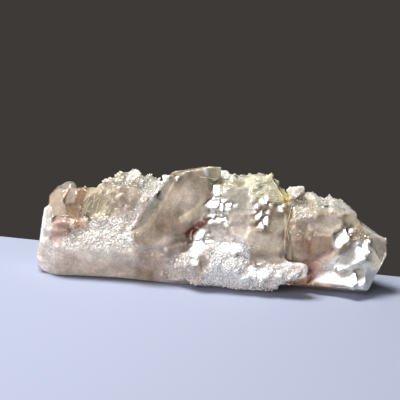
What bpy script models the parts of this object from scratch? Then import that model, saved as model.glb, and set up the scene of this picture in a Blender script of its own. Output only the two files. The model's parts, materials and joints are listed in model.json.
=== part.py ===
"""Smoky quartz cluster, modelled as the one piece that it grew as.

Long milky prisms lie along the base, a leaning smoky crystal crosses the front, a blunt
clear crystal ends the right side, and druse covers the crest. All of them are fused into
one closed solid, cut flat where the cluster rests.

Frame: +X along the cluster to its clear end, -Y towards its show side, +Z up, origin on
the resting plane. Run with: blender --background --python part.py
"""

import math
import random
from collections import namedtuple

import bmesh
import bpy
from mathutils import Matrix, Vector
from mathutils.bvhtree import BVHTree

# Driving dimensions. Every place and size below is in units of one millimetre of a
# cluster 130 mm long, and the whole cluster follows CLUSTER_LENGTH.
CLUSTER_LENGTH = 0.130
UNIT = CLUSTER_LENGTH / 130
HEAD_LEAN = math.radians(51.8)  # quartz: a head face's normal leans this far off the c-axis
MERGE_DISTANCE = 0.01 * UNIT
FLAT_ANGLE = math.radians(0.5)  # faces this close to one plane are dissolved into one
NODE_NAME = "quartz_cluster"

# foot and tip are the ends of a crystal's axis. facing is the way one of its six side faces
# looks, across its width seen from there, and thick its width the other way. setbacks say
# how far back from the tip each head face meets the axis, from the facing side round; the
# crystal ends in a flat break at its tip where they are negative.
Crystal = namedtuple("Crystal", "name foot tip across thick facing setbacks")
# A chunk is a broken mass: its centre, half sizes, how many flats it has, and a seed.
Chunk = namedtuple("Chunk", "name centre radii flats seed")
# A break takes off what lies beyond a flat of some width and height at a point.
Break = namedtuple("Break", "name point normal width height")
# A patch of small crystals: the crystal that they grow parallel to, or no name where they
# stand on the surface each its own way; where it is centred, how far it reaches, the way it
# is cast from, how many there are, and the least and most width of one.
Patch = namedtuple("Patch", "name parent centre reach outward count least most")

POINTED = (0.0, 1.5, 0.4, 1.8, 0.2, 1.2)
SKEWED = (0.0, 4.0, 1.5, 5.0, 0.8, 3.5)
BLUNT = (-1.5, -0.8, -1.2, -0.6, -1.4, -0.9)
WALL = (-3.0, -4.5, -4.0, -3.0, -4.0, -5.0)
FLAT_END = (-9.0,) * 6

CHUNKS = [
    Chunk("left_core", (-32, 4, 12), (32, 16, 13), 26, 11),
    Chunk("left_shoulder", (-43, 4, 17), (18, 12, 12), 24, 12),
    Chunk("middle_core", (6, 3, 14), (30, 19, 19), 26, 13),
    Chunk("right_core", (38, 3, 9), (25, 15, 12), 24, 14),
    Chunk("druse_hill", (-28, 0, 24.5), (16, 11.5, 11.5), 28, 15),
    Chunk("crest", (13, 1, 28.5), (17, 11.5, 11), 28, 16),
    Chunk("right_hill", (41, 1, 20.5), (15, 13, 12.6), 40, 17),
    Chunk("hill_left", (34.5, -1, 23), (9.5, 11.5, 11.5), 30, 27),
    Chunk("hill_front", (42, -4, 18), (13, 10, 10.5), 32, 28),
    Chunk("front_toe", (13, -13, 6), (12, 8, 7), 24, 19),
    Chunk("smoky_bulge", (19, -6.5, 19), (9.5, 10, 9.5), 34, 20),
    Chunk("grey_shoulder", (6, -6, 26), (9, 8, 12), 30, 22),
    Chunk("end_core", (52.5, -4.0, 11), (13.5, 10, 8.5), 28, 24),
    Chunk("long_ledge", (-36, -5, 17), (21, 8.5, 6.5), 30, 23),
    Chunk("smoky_wall", (33, -3, 15), (12, 10, 10), 30, 26),
    Chunk("smoky_heel", (-22.6, -11.5, 16.5), (8.2, 5.6, 6.2), 40, 29),
    Chunk("wall_core", (10.5, -6.5, 19), (14, 12.5, 19), 44, 30),
    Chunk("stained_slope", (-55, -7, 18.5), (8.5, 8, 7.5), 20, 25),
]

CRYSTALS = [
    # The long milky prism that the left half rests on, and the spire at its outer end.
    Crystal("left_prism", (2, -5.7, 7.4), (-65, -5.7, 8.0), 24.5, 23, (0, -0.74, 0.68),
            (-7, -9, -5, -7, -9, -4)),
    Crystal("end_spire", (-60.2, -9.0, 4), (-61.9, -6.5, 24.8), 8.5, 6.5, (-0.3, -0.95, 0),
            (0.5, 1.0, 0, 0, -0.5, 1.5)),
    # Two short rose-brown crystals on the left shoulder.
    Crystal("rose_crystal", (-55.8, -2, 10), (-56.0, -1, 32.4), 11.5, 11, (-0.35, -0.9, 0.1),
            (-1.5, -5, -5, -4, -1.5, -0.5)),
    Crystal("amber_crystal", (-30, 0.5, 25.5), (-56.2, -10.0, 27.0), 11, 10, (0.38, -0.9, 0.15),
            (0, 1.5, -1.5, -2, -1, 1)),
    # The leaning smoky crystal, its small companion and the clear tablet at its head.
    Crystal("smoky_crystal", (-22.6, -11.0, 15), (-2.8, -8.4, 43.4), 18.5, 10.5,
            (-0.15, -0.93, 0.32), (-2.5, 0.5, -1.0, 0, -1.0, 0)),
    Crystal("smoky_companion", (-20, -9, 7), (-6.5, -14, 22), 14, 11, (-0.3, -0.8, 0.5), SKEWED),
    Crystal("clear_tablet", (-4, -6, 30), (-0.8, -5, 43.6), 8, 6, (-0.2, -0.9, 0.3), BLUNT),
    Crystal("white_nub", (3, -1, 33), (3.6, -1, 41.4), 4.2, 3.8, (-0.2, -0.9, 0.1), BLUNT),
    # The broad translucent wall right of the smoky crystal.
    Crystal("grey_crystal", (1.5, -10.5, 1), (4.5, -1.5, 41.2), 25, 19, (-0.2, -0.95, 0.22), WALL),
    Crystal("veiled_crystal", (18, -9.5, 1), (17, -1.5, 40.6), 23, 19, (0.22, -0.95, 0.22), WALL),
    Crystal("crest_stub", (27, 2, 28), (32.2, 0, 37.8), 6, 4.5, (0.2, -0.95, 0.1), BLUNT),
    # Two short prisms that lie at the front, and the blunt clear crystal at the right end.
    Crystal("lobe_crystal", (26, -11, 6), (-14.5, -15, 8.5), 19, 17.5, (-0.1, -0.72, 0.68), BLUNT),
    Crystal("toe_crystal", (4, -14, 5.5), (32.5, -18.5, 8.3), 12, 11, (0, -0.75, 0.66), BLUNT),
    Crystal("clear_foot", (25, -6.4, -0.4), (66, -8.4, 2.4), 20.5, 15.5, (-0.1, -0.62, 0.78),
            BLUNT),
    Crystal("clear_end", (26, 1.5, 10), (68.5, -1.5, 17), 25, 21, (-0.2, -0.8, 0.55),
            (0, 4, 1.5, 5, 0.8, 0)),
    Crystal("quad_step", (48.2, -8.6, 14.5), (46.6, -12.6, 19.8), 7.2, 6.0, (-0.84, 0.52, 0.14),
            FLAT_END),
    Crystal("band_step", (53.4, -7.4, 6.1), (51.2, -13.6, 13.5), 15.5, 5.0, (-0.69, 0.66, 0.3),
            FLAT_END),
    Crystal("right_shoulder", (38, -1, 13), (58.5, -2, 28), 14, 13, (0.3, -0.7, 0.6), SKEWED),
    # Two stubs on the druse hill.
    Crystal("tall_stub", (-29.7, 0, 32), (-29.7, 0, 38.8), 3.8, 3.4, (-0.3, -0.9, 0), BLUNT),
    Crystal("small_stub", (-34.8, 0, 31), (-34.8, 0, 37.4), 2.9, 2.8, (0, -0.9, 0), BLUNT),
    # Crystals of the back side.
    Crystal("back_prism", (-6, 7, 9), (-55, 13, 12), 19, 18, (0, 0.8, 0.6), SKEWED),
    Crystal("back_crystal", (-4, 4, 10), (10, 19, 35), 17, 15, (0.1, 0.95, 0.1), SKEWED),
    Crystal("back_right_prism", (8, 8, 8), (55, 13, 12), 18, 17, (0, 0.85, 0.5), SKEWED),
    Crystal("back_point", (28, 4, 13), (36, 17, 30), 12, 11, (0.2, 0.9, 0), POINTED),
    Crystal("back_spire", (-24, 4, 16), (-30, 15, 35), 11, 10, (0, 0.9, 0.2), POINTED),
]

BREAKS = [
    Break("base", (0, 0, 0), (0, 0, -1), 200, 200),
    Break("left_end", (-63.5, -6, 9), (-0.99, -0.12, 0.1), 60, 60),
    Break("left_toe", (-61.5, -8, 2), (-0.8, -0.2, -0.56), 40, 20),
    Break("under_toe", (24, -18, 1.6), (0.22, -0.25, -0.94), 24, 30),
    Break("under_right", (48, -14, 2.6), (0, -0.35, -0.94), 46, 30),
    Break("under_end", (62.3, -8, 9), (0.9, -0.18, -0.39), 40, 60),
]

# A hollow is a chunk taken away: it leaves a shell-shaped break made of small flats.
HOLLOWS = [
    Chunk("pocket", (-6.2, -16.4, 22.3), (4, 4, 3), 26, 32),
    Chunk("toe_gap", (23, -21.5, 14.5), (8, 5, 3), 30, 33),
]

PATCHES = [
    Patch("shoulder_druse", "", (-30, -3, 34), (13, 8, 5), (0, -0.4, 1), 26, 2.2, 4.2),
    Patch("white_druse", "", (-19, -7, 34), (6, 5, 5), (-0.1, -0.8, 0.8), 14, 2.4, 4.6),
    Patch("crest_druse", "", (18, -3, 37), (12, 7, 4), (0, -0.4, 1), 20, 2.2, 4.2),
    Patch("hill_druse", "", (45, -3.5, 31), (12, 8, 4), (0.1, -0.4, 1), 15, 2.2, 3.6),
    Patch("back_druse", "", (0, 14, 30), (45, 7, 7), (0, 0.7, 0.7), 26, 2.2, 4.4),
    Patch("prism_steps", "left_prism", (-40, -14, 17), (18, 2, 5), (0, -0.8, 0.7), 36, 2.2, 5.0),
    Patch("amber_steps", "amber_crystal", (-35, -8, 27), (6, 3, 4), (0, -0.8, 0.7), 10, 2.4, 5.0),
    Patch("lobe_steps", "lobe_crystal", (-2, -18, 12), (13, 3, 5), (0, -0.8, 0.7), 16, 2.5, 5.5),
]

# Patches of small pits, written the same way.
PITS = [
    Patch("hill_pits", "", (42, -4, 26), (15, 4, 9), (0.1, -0.8, 0.6), 5, 3.0, 5.0),
    Patch("druse_pits", "", (-27, -6, 28), (10, 4, 6), (0, -0.8, 0.6), 5, 3.0, 6.0),
    Patch("wall_pits", "", (12, -8, 26), (14, 4, 12), (0, -0.8, 0.6), 3, 3.0, 5.0),
    Patch("back_pits", "", (0, 12, 20), (52, 6, 14), (0, 0.8, 0.6), 12, 4.0, 9.0),
]

# Small flats set into the show side, all of them turned the same way: how far along and how
# high each one is, its widths, and how far its first width is turned from level, in degrees.
FLATS_LOOK = Vector((-0.24, -0.59, 0.77))
FLATS_CAST = Vector((0, -0.978, 0.208))
FLATS = [
    (-0.4, 34.6, 2.8, 5.0, 80), (-1.4, 30.4, 5.4, 6.2, 60), (2.6, 31.0, 2.6, 3.6, 90),
    (2.2, 27.6, 2.4, 3.4, 80), (-1.8, 26.0, 2.8, 3.2, 20), (0.6, 23.6, 6.4, 3.8, 0),
    (14.4, 25.8, 3.8, 5.0, 100), (17.6, 27.0, 3.0, 3.6, 60), (16.8, 23.4, 3.8, 4.6, 30),
    (15.0, 21.4, 2.6, 3.4, 120), (17.2, 32.0, 2.4, 3.0, 90), (22.2, 28.4, 2.6, 3.6, 70),
    (-4.4, 18.4, 3.4, 5.2, 70), (-5.7, 15.0, 3.7, 5.2, 64), (-6.4, 11.8, 3.8, 5.6, 80),
    (-2.2, 16.8, 2.6, 3.4, 0), (4.4, 13.8, 7.0, 5.4, 10), (12.8, 5.8, 5.4, 5.0, 40),
    (18.0, 6.0, 4.4, 4.0, 0), (28.4, 7.4, 5.0, 5.0, 20), (-15.6, 34.2, 3.8, 4.8, 50),
    (-19.8, 32.6, 3.4, 4.2, 90),
]


def place(point):
    """A place written in units, as a vector in metres."""
    return Vector(point) * UNIT


def cut_away(bm, plane_point, plane_normal):
    """Cuts off what lies beyond the plane, and closes the cut with a flat face."""
    cut = bmesh.ops.bisect_plane(
        bm,
        geom=bm.verts[:] + bm.edges[:] + bm.faces[:],
        dist=0.001 * UNIT,
        plane_co=plane_point,
        plane_no=plane_normal,
        clear_outer=True,
    )
    rim = [part for part in cut["geom_cut"] if isinstance(part, bmesh.types.BMEdge)]
    if rim:
        bmesh.ops.holes_fill(bm, edges=rim)


def upright(axis, facing):
    """The turn that takes +Z to the axis and +X to the side that looks the facing way."""
    axis = axis.normalized()
    front = Vector(facing)
    front = (front - axis * front.dot(axis)).normalized()
    return Matrix((front, axis.cross(front), axis)).transposed()


def hidden_object(name, bm, collection):
    """Turns a bmesh into a helper object, drawn as wire and left out of renders."""
    mesh = bpy.data.meshes.new(name)
    bmesh.ops.recalc_face_normals(bm, faces=bm.faces[:])
    bm.to_mesh(mesh)
    bm.free()
    helper = bpy.data.objects.new(name, mesh)
    helper.hide_render = True
    helper.display_type = "WIRE"
    collection.objects.link(helper)
    return helper


def add_crystal(crystal, collection):
    """A six-sided quartz prism with the six head faces of quartz at its tip."""
    foot, tip = place(crystal.foot), place(crystal.tip)
    length = (tip - foot).length
    size = 2 * length + crystal.across * UNIT
    bm = bmesh.new()
    bmesh.ops.create_cube(bm, size=size, matrix=Matrix.Translation((0, 0, size / 2)))
    cut_away(bm, Vector((0, 0, length)), Vector((0, 0, 1)))
    corner = crystal.across / 2 * math.cos(math.radians(30))
    for side, setback in enumerate(crystal.setbacks):
        angle = math.radians(60 * side)
        outward = Vector((math.cos(angle), math.sin(angle), 0))
        reach = crystal.thick / 2 if side % 3 == 0 else corner
        cut_away(bm, outward * reach * UNIT, outward)
        head = outward * math.sin(HEAD_LEAN) + Vector((0, 0, math.cos(HEAD_LEAN)))
        cut_away(bm, Vector((0, 0, length - setback * UNIT)), head)
    turn = upright(tip - foot, crystal.facing).to_4x4()
    bmesh.ops.transform(bm, matrix=Matrix.Translation(foot) @ turn, verts=bm.verts[:])
    return hidden_object(crystal.name, bm, collection)


def add_chunk(chunk, collection):
    """A broken mass: a block cut by flats that lie round an ellipsoid at random."""
    dice = random.Random(chunk.seed)
    bm = bmesh.new()
    bmesh.ops.create_cube(bm, size=2.6)
    for number in range(chunk.flats):
        height = 1 - 2 * (number + 0.5) / chunk.flats
        angle = math.radians(137.5 * number)
        ring = math.sqrt(1 - height * height)
        normal = Vector((ring * math.cos(angle), ring * math.sin(angle), height))
        normal = (normal + Vector([dice.gauss(0, 0.16) for _ in range(3)])).normalized()
        cut_away(bm, normal * dice.uniform(0.84, 1.0), normal)
    bmesh.ops.scale(bm, vec=place(chunk.radii), verts=bm.verts[:])
    bmesh.ops.translate(bm, vec=place(chunk.centre), verts=bm.verts[:])
    return hidden_object(chunk.name, bm, collection)


def add_break(spot, collection):
    """A block to be taken away, whose underside is the flat that the break leaves."""
    bm = bmesh.new()
    bmesh.ops.create_cube(bm, size=UNIT, matrix=Matrix.Translation((0, 0, UNIT / 2)))
    bmesh.ops.scale(bm, vec=(spot.height, spot.width, 20), verts=bm.verts[:])
    turn = upright(Vector(spot.normal), (0, 0.01, 1)).to_4x4()
    bmesh.ops.transform(bm, matrix=Matrix.Translation(place(spot.point)) @ turn, verts=bm.verts[:])
    return hidden_object(spot.name, bm, collection)


def combined(name, first, collection, operation):
    """The mesh of the first helper with every helper of the collection added or taken away."""
    join = first.modifiers.new("join", "BOOLEAN")
    join.operation = operation
    join.solver = "EXACT"
    join.operand_type = "COLLECTION"
    join.collection = collection
    join.use_self = True
    bpy.context.view_layer.update()
    graph = bpy.context.evaluated_depsgraph_get()
    mesh = bpy.data.meshes.new_from_object(first.evaluated_get(graph))
    mesh.name = name
    first.modifiers.clear()
    return mesh


def surface_of(mesh):
    """The mesh as a surface that rays can be cast at."""
    shape = bmesh.new()
    shape.from_mesh(mesh)
    surface = BVHTree.FromBMesh(shape)
    shape.free()
    return surface


def standing_crystal(hit, normal, patch, across, dice):
    """A short crystal that stands on the surface, tilted a little its own way."""
    tilt = Vector([dice.gauss(0, 0.35) for _ in range(3)])
    axis = (normal + Vector(patch.outward).normalized() * 0.6 + tilt).normalized()
    thick = across * dice.uniform(0.8, 1.0)
    setbacks = tuple(across * 0.3 * dice.random() for _ in range(6))
    tip = hit + axis * across * dice.uniform(0.3, 0.9)
    return Crystal("", hit - axis * across, tip, across, thick, axis.orthogonal(), setbacks)


def parallel_crystal(hit, parent, across, dice):
    """A low crystal set as its parent is, whose side face stands a step above the surface."""
    axis = (Vector(parent.tip) - Vector(parent.foot)).normalized()
    facing = upright(axis, parent.facing).col[0]
    thick = across * 0.7
    middle = hit - facing * (thick / 2 - dice.uniform(0.3, 1.0))
    reach = axis * across * dice.uniform(0.5, 1.1)
    setbacks = tuple(dice.uniform(-1.0, 0.4) for _ in range(6))
    return Crystal("", middle - reach, middle + reach, across, thick, facing, setbacks)


def scatter(patch, surface, collection, seed):
    """The small crystals of a patch, each where a ray cast at the surface meets it."""
    dice = random.Random(seed)
    parents = {crystal.name: crystal for crystal in CRYSTALS}
    outward = Vector(patch.outward).normalized()
    centre, reach = place(patch.centre), place(patch.reach)
    for number in range(patch.count):
        spot = centre + Vector([dice.uniform(-1, 1) * size for size in reach])
        hit, normal, _, _ = surface.ray_cast(spot + outward * 30 * UNIT, -outward)
        if hit is None:
            continue
        across = dice.uniform(patch.least, patch.most)
        if patch.parent:
            small = parallel_crystal(hit / UNIT, parents[patch.parent], across, dice)
        else:
            small = standing_crystal(hit / UNIT, normal, patch, across, dice)
        add_crystal(small._replace(name=f"{patch.name}_{number}"), collection)


def scatter_pits(patch, surface, collection, seed):
    """Small chunks sunk a little into the surface, to be taken away."""
    dice = random.Random(seed)
    outward = Vector(patch.outward).normalized()
    centre, reach = place(patch.centre), place(patch.reach)
    for number in range(patch.count):
        spot = centre + Vector([dice.uniform(-1, 1) * size for size in reach])
        hit = surface.ray_cast(spot + outward * 30 * UNIT, -outward)[0]
        if hit is None:
            continue
        size = dice.uniform(patch.least, patch.most) / 2
        radii = [size * dice.uniform(0.7, 1.2) for _ in range(3)]
        middle = hit / UNIT + outward * size * 0.6
        add_chunk(Chunk(f"{patch.name}_{number}", middle, radii, 14, seed + number), collection)


def set_flats(surface, collection):
    """Low six-sided blocks whose tops are the small flats of the show side."""
    for number, (along, up, across, thick, turn) in enumerate(FLATS):
        spot = Vector((along, -12, up))
        start = (spot + FLATS_CAST * 40) * UNIT
        hit = surface.ray_cast(start, -FLATS_CAST)[0]
        if hit is None:
            continue
        foot = hit / UNIT - FLATS_LOOK * 4
        tip = hit / UNIT + FLATS_LOOK * 0.35
        facing = Matrix.Rotation(math.radians(-turn), 3, FLATS_LOOK) @ Vector((0, 0, 1))
        flat = Crystal(f"flat_{number}", foot, tip, across, thick, facing, (-5,) * 6)
        add_crystal(flat, collection)


def drop_crumbs(bm):
    """Removes edges without faces, and every loose body but the one with the most points."""
    wires = [edge for edge in bm.edges if edge.is_wire]
    bmesh.ops.delete(bm, geom=wires, context="EDGES")
    loose, bodies = set(bm.verts), []
    while loose:
        front = [loose.pop()]
        body = set(front)
        while front:
            vertex = front.pop()
            near = {edge.other_vert(vertex) for edge in vertex.link_edges} & loose
            loose -= near
            body |= near
            front.extend(near)
        bodies.append(body)
    bodies.sort(key=len)
    for crumb in bodies[:-1]:
        bmesh.ops.delete(bm, geom=list(crumb), context="VERTS")


def tidy(bm):
    """Merges points that almost meet, and dissolves the seams that fusing leaves on flat faces."""
    bmesh.ops.remove_doubles(bm, verts=bm.verts[:], dist=MERGE_DISTANCE)
    bmesh.ops.dissolve_degenerate(bm, dist=MERGE_DISTANCE, edges=bm.edges[:])
    bmesh.ops.dissolve_limit(
        bm, angle_limit=FLAT_ANGLE, verts=bm.verts[:], edges=bm.edges[:], delimit={"NORMAL"}
    )
    bmesh.ops.triangulate(bm, faces=bm.faces[:])
    drop_crumbs(bm)
    bmesh.ops.recalc_face_normals(bm, faces=bm.faces[:])


def smoky_quartz():
    """The material of the whole cluster: clear to milky quartz with a smoky tint."""
    material = bpy.data.materials.new("smoky_quartz")
    material.use_nodes = True
    shader = material.node_tree.nodes["Principled BSDF"]
    shader.inputs["Base Color"].default_value = (0.62, 0.55, 0.48, 1)
    shader.inputs["Roughness"].default_value = 0.12
    shader.inputs["IOR"].default_value = 1.544
    shader.inputs["Transmission Weight"].default_value = 0.6
    return material


def new_collection(name):
    """An empty collection linked to the scene."""
    collection = bpy.data.collections.new(name)
    bpy.context.scene.collection.children.link(collection)
    return collection


def build_cluster():
    """Fuses the masses, breaks them flat at the base and elsewhere, and fuses the druse on."""
    masses, breaks = new_collection("masses"), new_collection("breaks")
    druse = new_collection("druse")
    core = add_chunk(CHUNKS[0], new_collection("core"))
    for chunk in CHUNKS[1:]:
        add_chunk(chunk, masses)
    for crystal in CRYSTALS:
        add_crystal(crystal, masses)
    core.data = combined("masses", core, masses, "UNION")
    for spot in BREAKS:
        add_break(spot, breaks)
    for hollow in HOLLOWS:
        add_chunk(hollow, breaks)
    surface = surface_of(core.data)
    for seed, patch in enumerate(PITS, start=201):
        scatter_pits(patch, surface, breaks, seed)
    core.data = combined("broken_masses", core, breaks, "DIFFERENCE")
    surface = surface_of(core.data)
    for seed, patch in enumerate(PATCHES, start=101):
        scatter(patch, surface, druse, seed)
    set_flats(surface, druse)
    shape = bmesh.new()
    shape.from_mesh(combined("fused", core, druse, "UNION"))
    tidy(shape)
    mesh = bpy.data.meshes.new(NODE_NAME)
    shape.to_mesh(mesh)
    shape.free()
    mesh.materials.append(smoky_quartz())
    cluster = bpy.data.objects.new(NODE_NAME, mesh)
    new_collection("smoky_quartz_cluster").objects.link(cluster)


def main():
    for old in list(bpy.data.objects):
        bpy.data.objects.remove(old)
    build_cluster()


main()
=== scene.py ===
"""Looks of a smoky quartz cluster: quartz, sugar, druse, rutile needles and a plain stage.

Laid out as an add-on and run as a script. Lengths in the tables are in millimetres of the
cluster's own frame: +X along the cluster to its clear end, -Y to its show side, +Z up.
Outlines, steps, small blocks and needles are drawn as (X, Z) on the upright plane through the
cluster, as they show from the middle of its show side.
"""

import json
import math
import random
from collections import namedtuple

import bpy
import numpy as np
from bpy.props import FloatProperty, FloatVectorProperty, IntProperty, PointerProperty
from mathutils import Matrix, Vector
from mathutils.bvhtree import BVHTree

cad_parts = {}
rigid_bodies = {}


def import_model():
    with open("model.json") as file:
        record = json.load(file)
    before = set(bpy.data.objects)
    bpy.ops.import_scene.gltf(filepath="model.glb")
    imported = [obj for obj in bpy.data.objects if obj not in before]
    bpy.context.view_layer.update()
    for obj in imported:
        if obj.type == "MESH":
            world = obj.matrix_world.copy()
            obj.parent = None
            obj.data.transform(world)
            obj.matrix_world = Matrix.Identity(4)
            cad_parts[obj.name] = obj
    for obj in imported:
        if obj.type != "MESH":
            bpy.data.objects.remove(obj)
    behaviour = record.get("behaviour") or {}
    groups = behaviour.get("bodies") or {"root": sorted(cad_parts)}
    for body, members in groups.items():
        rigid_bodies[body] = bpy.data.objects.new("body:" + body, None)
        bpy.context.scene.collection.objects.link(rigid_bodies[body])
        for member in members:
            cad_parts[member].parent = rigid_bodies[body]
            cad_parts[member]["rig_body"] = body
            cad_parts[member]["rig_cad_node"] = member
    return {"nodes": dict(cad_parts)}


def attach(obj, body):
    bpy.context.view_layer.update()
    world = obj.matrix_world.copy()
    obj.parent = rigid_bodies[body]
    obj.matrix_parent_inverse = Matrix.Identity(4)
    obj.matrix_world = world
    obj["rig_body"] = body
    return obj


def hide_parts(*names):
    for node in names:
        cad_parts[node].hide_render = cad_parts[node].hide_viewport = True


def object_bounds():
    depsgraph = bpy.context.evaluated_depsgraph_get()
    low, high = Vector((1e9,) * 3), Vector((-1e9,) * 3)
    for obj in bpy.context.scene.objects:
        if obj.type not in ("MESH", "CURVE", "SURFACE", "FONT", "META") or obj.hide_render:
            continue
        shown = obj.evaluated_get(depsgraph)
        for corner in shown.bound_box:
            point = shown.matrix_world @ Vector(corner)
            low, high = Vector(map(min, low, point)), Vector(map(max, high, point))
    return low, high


bl_info = {
    "name": "Smoky Quartz Cluster",
    "version": (1, 0, 0),
    "blender": (4, 5, 0),
    "location": "3D View > Sidebar > Quartz",
    "description": "Dresses the solid of a quartz cluster and sets it on a plain stage",
    "category": "Object",
}

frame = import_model()
CAD_BOX = [list(corner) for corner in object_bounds()]
QUARTZ = "smoky milky quartz, natural faces"
NODE = "quartz_cluster"
MM = 0.001

EYE = Vector((-5.1, -440.2, 122.5))     # the middle of the show side
LAMP = Vector((-210, -15, 562))         # where the high light hangs
CRISP = math.radians(32)                # edges sharper than this stay crisp
ROOM = 0.6 * MM                         # how far small grains may pass the solid's box
QUARTZ_IOR = 1.544
PLAIN_LOOK = ("c4b6ab", 0.75, 0.4)      # colour, milk and grain where nothing else is said


def srgb(code):
    """A hex colour such as "c9b8a0", as linear red, green and blue."""
    parts = [int(code[i:i + 2], 16) / 255 for i in (0, 2, 4)]
    return tuple(c / 12.92 if c <= 0.04045 else ((c + 0.055) / 1.055) ** 2.4 for c in parts)


# A zone is a stretch of the cluster between two points, as far as its reach: its colour, how
# milky it is from 0 clear to 1 white, and how sugary its surface is from 0 smooth to 1.
Zone = namedtuple("Zone", "name start end reach colour milk grain")

ZONES = [
    Zone("long prism, lower face", (-56, -16, 5), (-14, -16, 5), 6.5, "c3b4ae", 0.75, 0.12),
    Zone("long prism, upper edge", (-50, -16, 12), (-24, -15, 12), 4.0, "e6dfdc", 0.95, 0.35),
    Zone("long prism, sugar band", (-50, -13, 17), (-26, -13, 18), 5.5, "f2eae6", 1.0, 1.0),
    Zone("long prism, end", (-62, -11, 5), (-64, 0, 12), 6, "eadbd6", 0.9, 0.25),
    Zone("spire", (-61, -10, 12), (-62, -8, 24), 4.5, "fbf8f6", 1.0, 0.08),
    Zone("rose crystal", (-57, -5, 22), (-56, -3, 32), 6.5, "e3c2a8", 0.6, 0.03),
    Zone("lilac head", (-53, -9.5, 29), (-51, -9.5, 27), 3.6, "c2aea6", 0.5, 0.0),
    Zone("amber crystal", (-49, -11, 27), (-47, -10, 25), 4.5, "c59c7a", 0.45, 0.05),
    Zone("mauve stain", (-56, -16, 18), (-52, -15.5, 20), 4.5, "c9a39b", 0.6, 0.25),
    Zone("orange flecks", (-48, -11, 19.5), (-47, -11, 19), 3.0, "e0b896", 0.8, 0.7),
    Zone("rutile shoulder", (-45, -10, 29), (-42, -10, 22), 5.5, "c2b896", 0.6, 0.5),
    Zone("druse hill", (-38, -7, 30), (-29, -10, 28), 7, "cfbfae", 0.75, 0.45),
    Zone("druse hill, top", (-36, -3, 35), (-24, -3, 36), 6, "dccdb8", 0.85, 0.6),
    Zone("white druse", (-25, -8, 34), (-20, -11, 33), 4.5, "e9e8e0", 1.0, 0.6),
    Zone("sugar slope", (-28, -11, 25), (-25, -12, 20), 4.5, "e0d5cc", 0.9, 0.8),
    Zone("smoky crystal", (-22, -15, 19), (-8, -14, 38), 7.5, "a59689", 0.38, 0.0),
    Zone("smoky crystal, top", (-8, -13, 40), (-4, -10, 42), 4, "b0a79a", 0.35, 0.0),
    Zone("smoky crystal, side", (-26, -13, 22), (-17, -9, 37), 2.6, "86796f", 0.3, 0.0),
    Zone("smoky companion", (-15, -18, 14), (-10, -15, 16), 4, "a99a8e", 0.45, 0.1),
    Zone("white wedge", (-14, -17, 9), (-9, -19, 10), 4, "ddd2cd", 0.85, 0.45),
    Zone("clear tablet", (-3, -8, 38), (-1, -7, 44), 3.6, "b9b6a0", 0.3, 0.0),
    Zone("white nub", (3, -1, 38), (4, -1, 42), 3, "f4efe6", 1.0, 0.2),
    Zone("grey wall", (3, -15, 24), (6, -12, 35), 6.5, "c4c0b6", 0.65, 0.10),
    Zone("peach wall", (8, -17, 19), (9, -16, 26), 4.5, "dac9bc", 0.8, 0.25),
    Zone("white ridge", (10.5, -9, 37), (12.5, -14, 30), 2.2, "e9e6da", 0.95, 0.5),
    Zone("crest", (15, -8, 38), (24, -8, 35), 5.5, "cfc9a6", 0.75, 0.15),
    Zone("smoky bulge", (18, -15, 24), (22, -16, 19), 6, "b8a798", 0.5, 0.08),
    # The strip's bluish white is partly milky quartz and partly a painted reflection where its
    # broken steps flash the light.
    Zone("bluish strip", (-6, -18, 19), (-4, -21, 13), 2.6, "e8ebec", 1.0, 0.6),
    Zone("front lobe", (0, -21, 10), (10, -21, 10), 5.5, "f5eeeb", 1.0, 1.0),
    # A sugary patch that flashes the high light: its pure white is partly painted highlight.
    Zone("front lobe, white patch with painted flash", (4, -18, 16), (9, -18, 15), 3, "ffffff", 1.0, 0.5),
    Zone("front lobe, left", (-6, -22, 8), (-3, -22, 11), 4, "b9aaa2", 0.7, 0.4),
    Zone("front lobe, foot", (-4, -21, 3), (20, -21, 3), 4, "e0cfc6", 0.85, 0.5),
    # Painted shade in a recess at the foot of the middle.
    Zone("recess, painted shade", (18, -19, 13.5), (24, -19, 13), 3.0, "a8988c", 0.5, 0.2),
    Zone("front toe", (20, -22, 9), (30, -21, 9), 4.5, "ebe2de", 0.95, 0.8),
    Zone("right hill", (33, -8, 30), (45, -8, 28), 8, "c4b8a8", 0.7, 0.25),
    Zone("right hill, top", (32, -3, 34), (48, -3, 31), 4, "d6cfc2", 0.85, 0.25),
    Zone("right hill, rim", (52, -5, 27), (53, -6, 24), 4, "a29c88", 0.5, 0.15),
    Zone("rusty shoulder", (53, -8, 23), (57, -8, 21), 3, "cfb08c", 0.7, 0.6),
    Zone("smoky hollow", (30, -12, 18), (38, -12, 16), 6, "a78c7c", 0.5, 0.08),
    Zone("pink seam", (39, -12, 12), (36, -11, 7), 4, "c89c92", 0.65, 0.3),
    # The quad, the clear band and the clear foot are near white: milky quartz with a painted
    # highlight where these faces flash the high light.
    Zone("quad", (45, -13, 21), (48, -13, 19), 3, "e2dcd8", 0.9, 0.05),
    Zone("dark face", (50, -12, 17), (49, -12, 16), 2.6, "9d8a7c", 0.4, 0.05),
    Zone("clear band", (47, -14, 12), (56, -10, 18), 2.6, "f2f0f2", 1.0, 0.0),
    Zone("clear foot", (42, -15, 5), (54, -15, 6), 5, "f5f0ee", 1.0, 0.15),
    Zone("grey face", (52, -15, 11), (55, -13, 12), 2.6, "aaa098", 0.45, 0.0),
    Zone("clear end", (60, -8, 17), (59, -11, 14), 4.5, "b8b0a9", 0.4, 0.03),
    Zone("clear end, lower", (58, -12.5, 9), (59, -12, 5), 4, "d9c8c2", 0.7, 0.2),
    Zone("back", (-55, 16, 14), (55, 16, 14), 16, "e0d4cb", 0.8, 0.4),
    Zone("underside", (-50, 0, -4), (50, 0, -4), 8, "bdb0a8", 0.8, 0.3),
]

# An outline is a patch of the show side with its own look, and a soft edge this wide.
Outline = namedtuple("Outline", "name colour milk grain edge corners")

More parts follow.
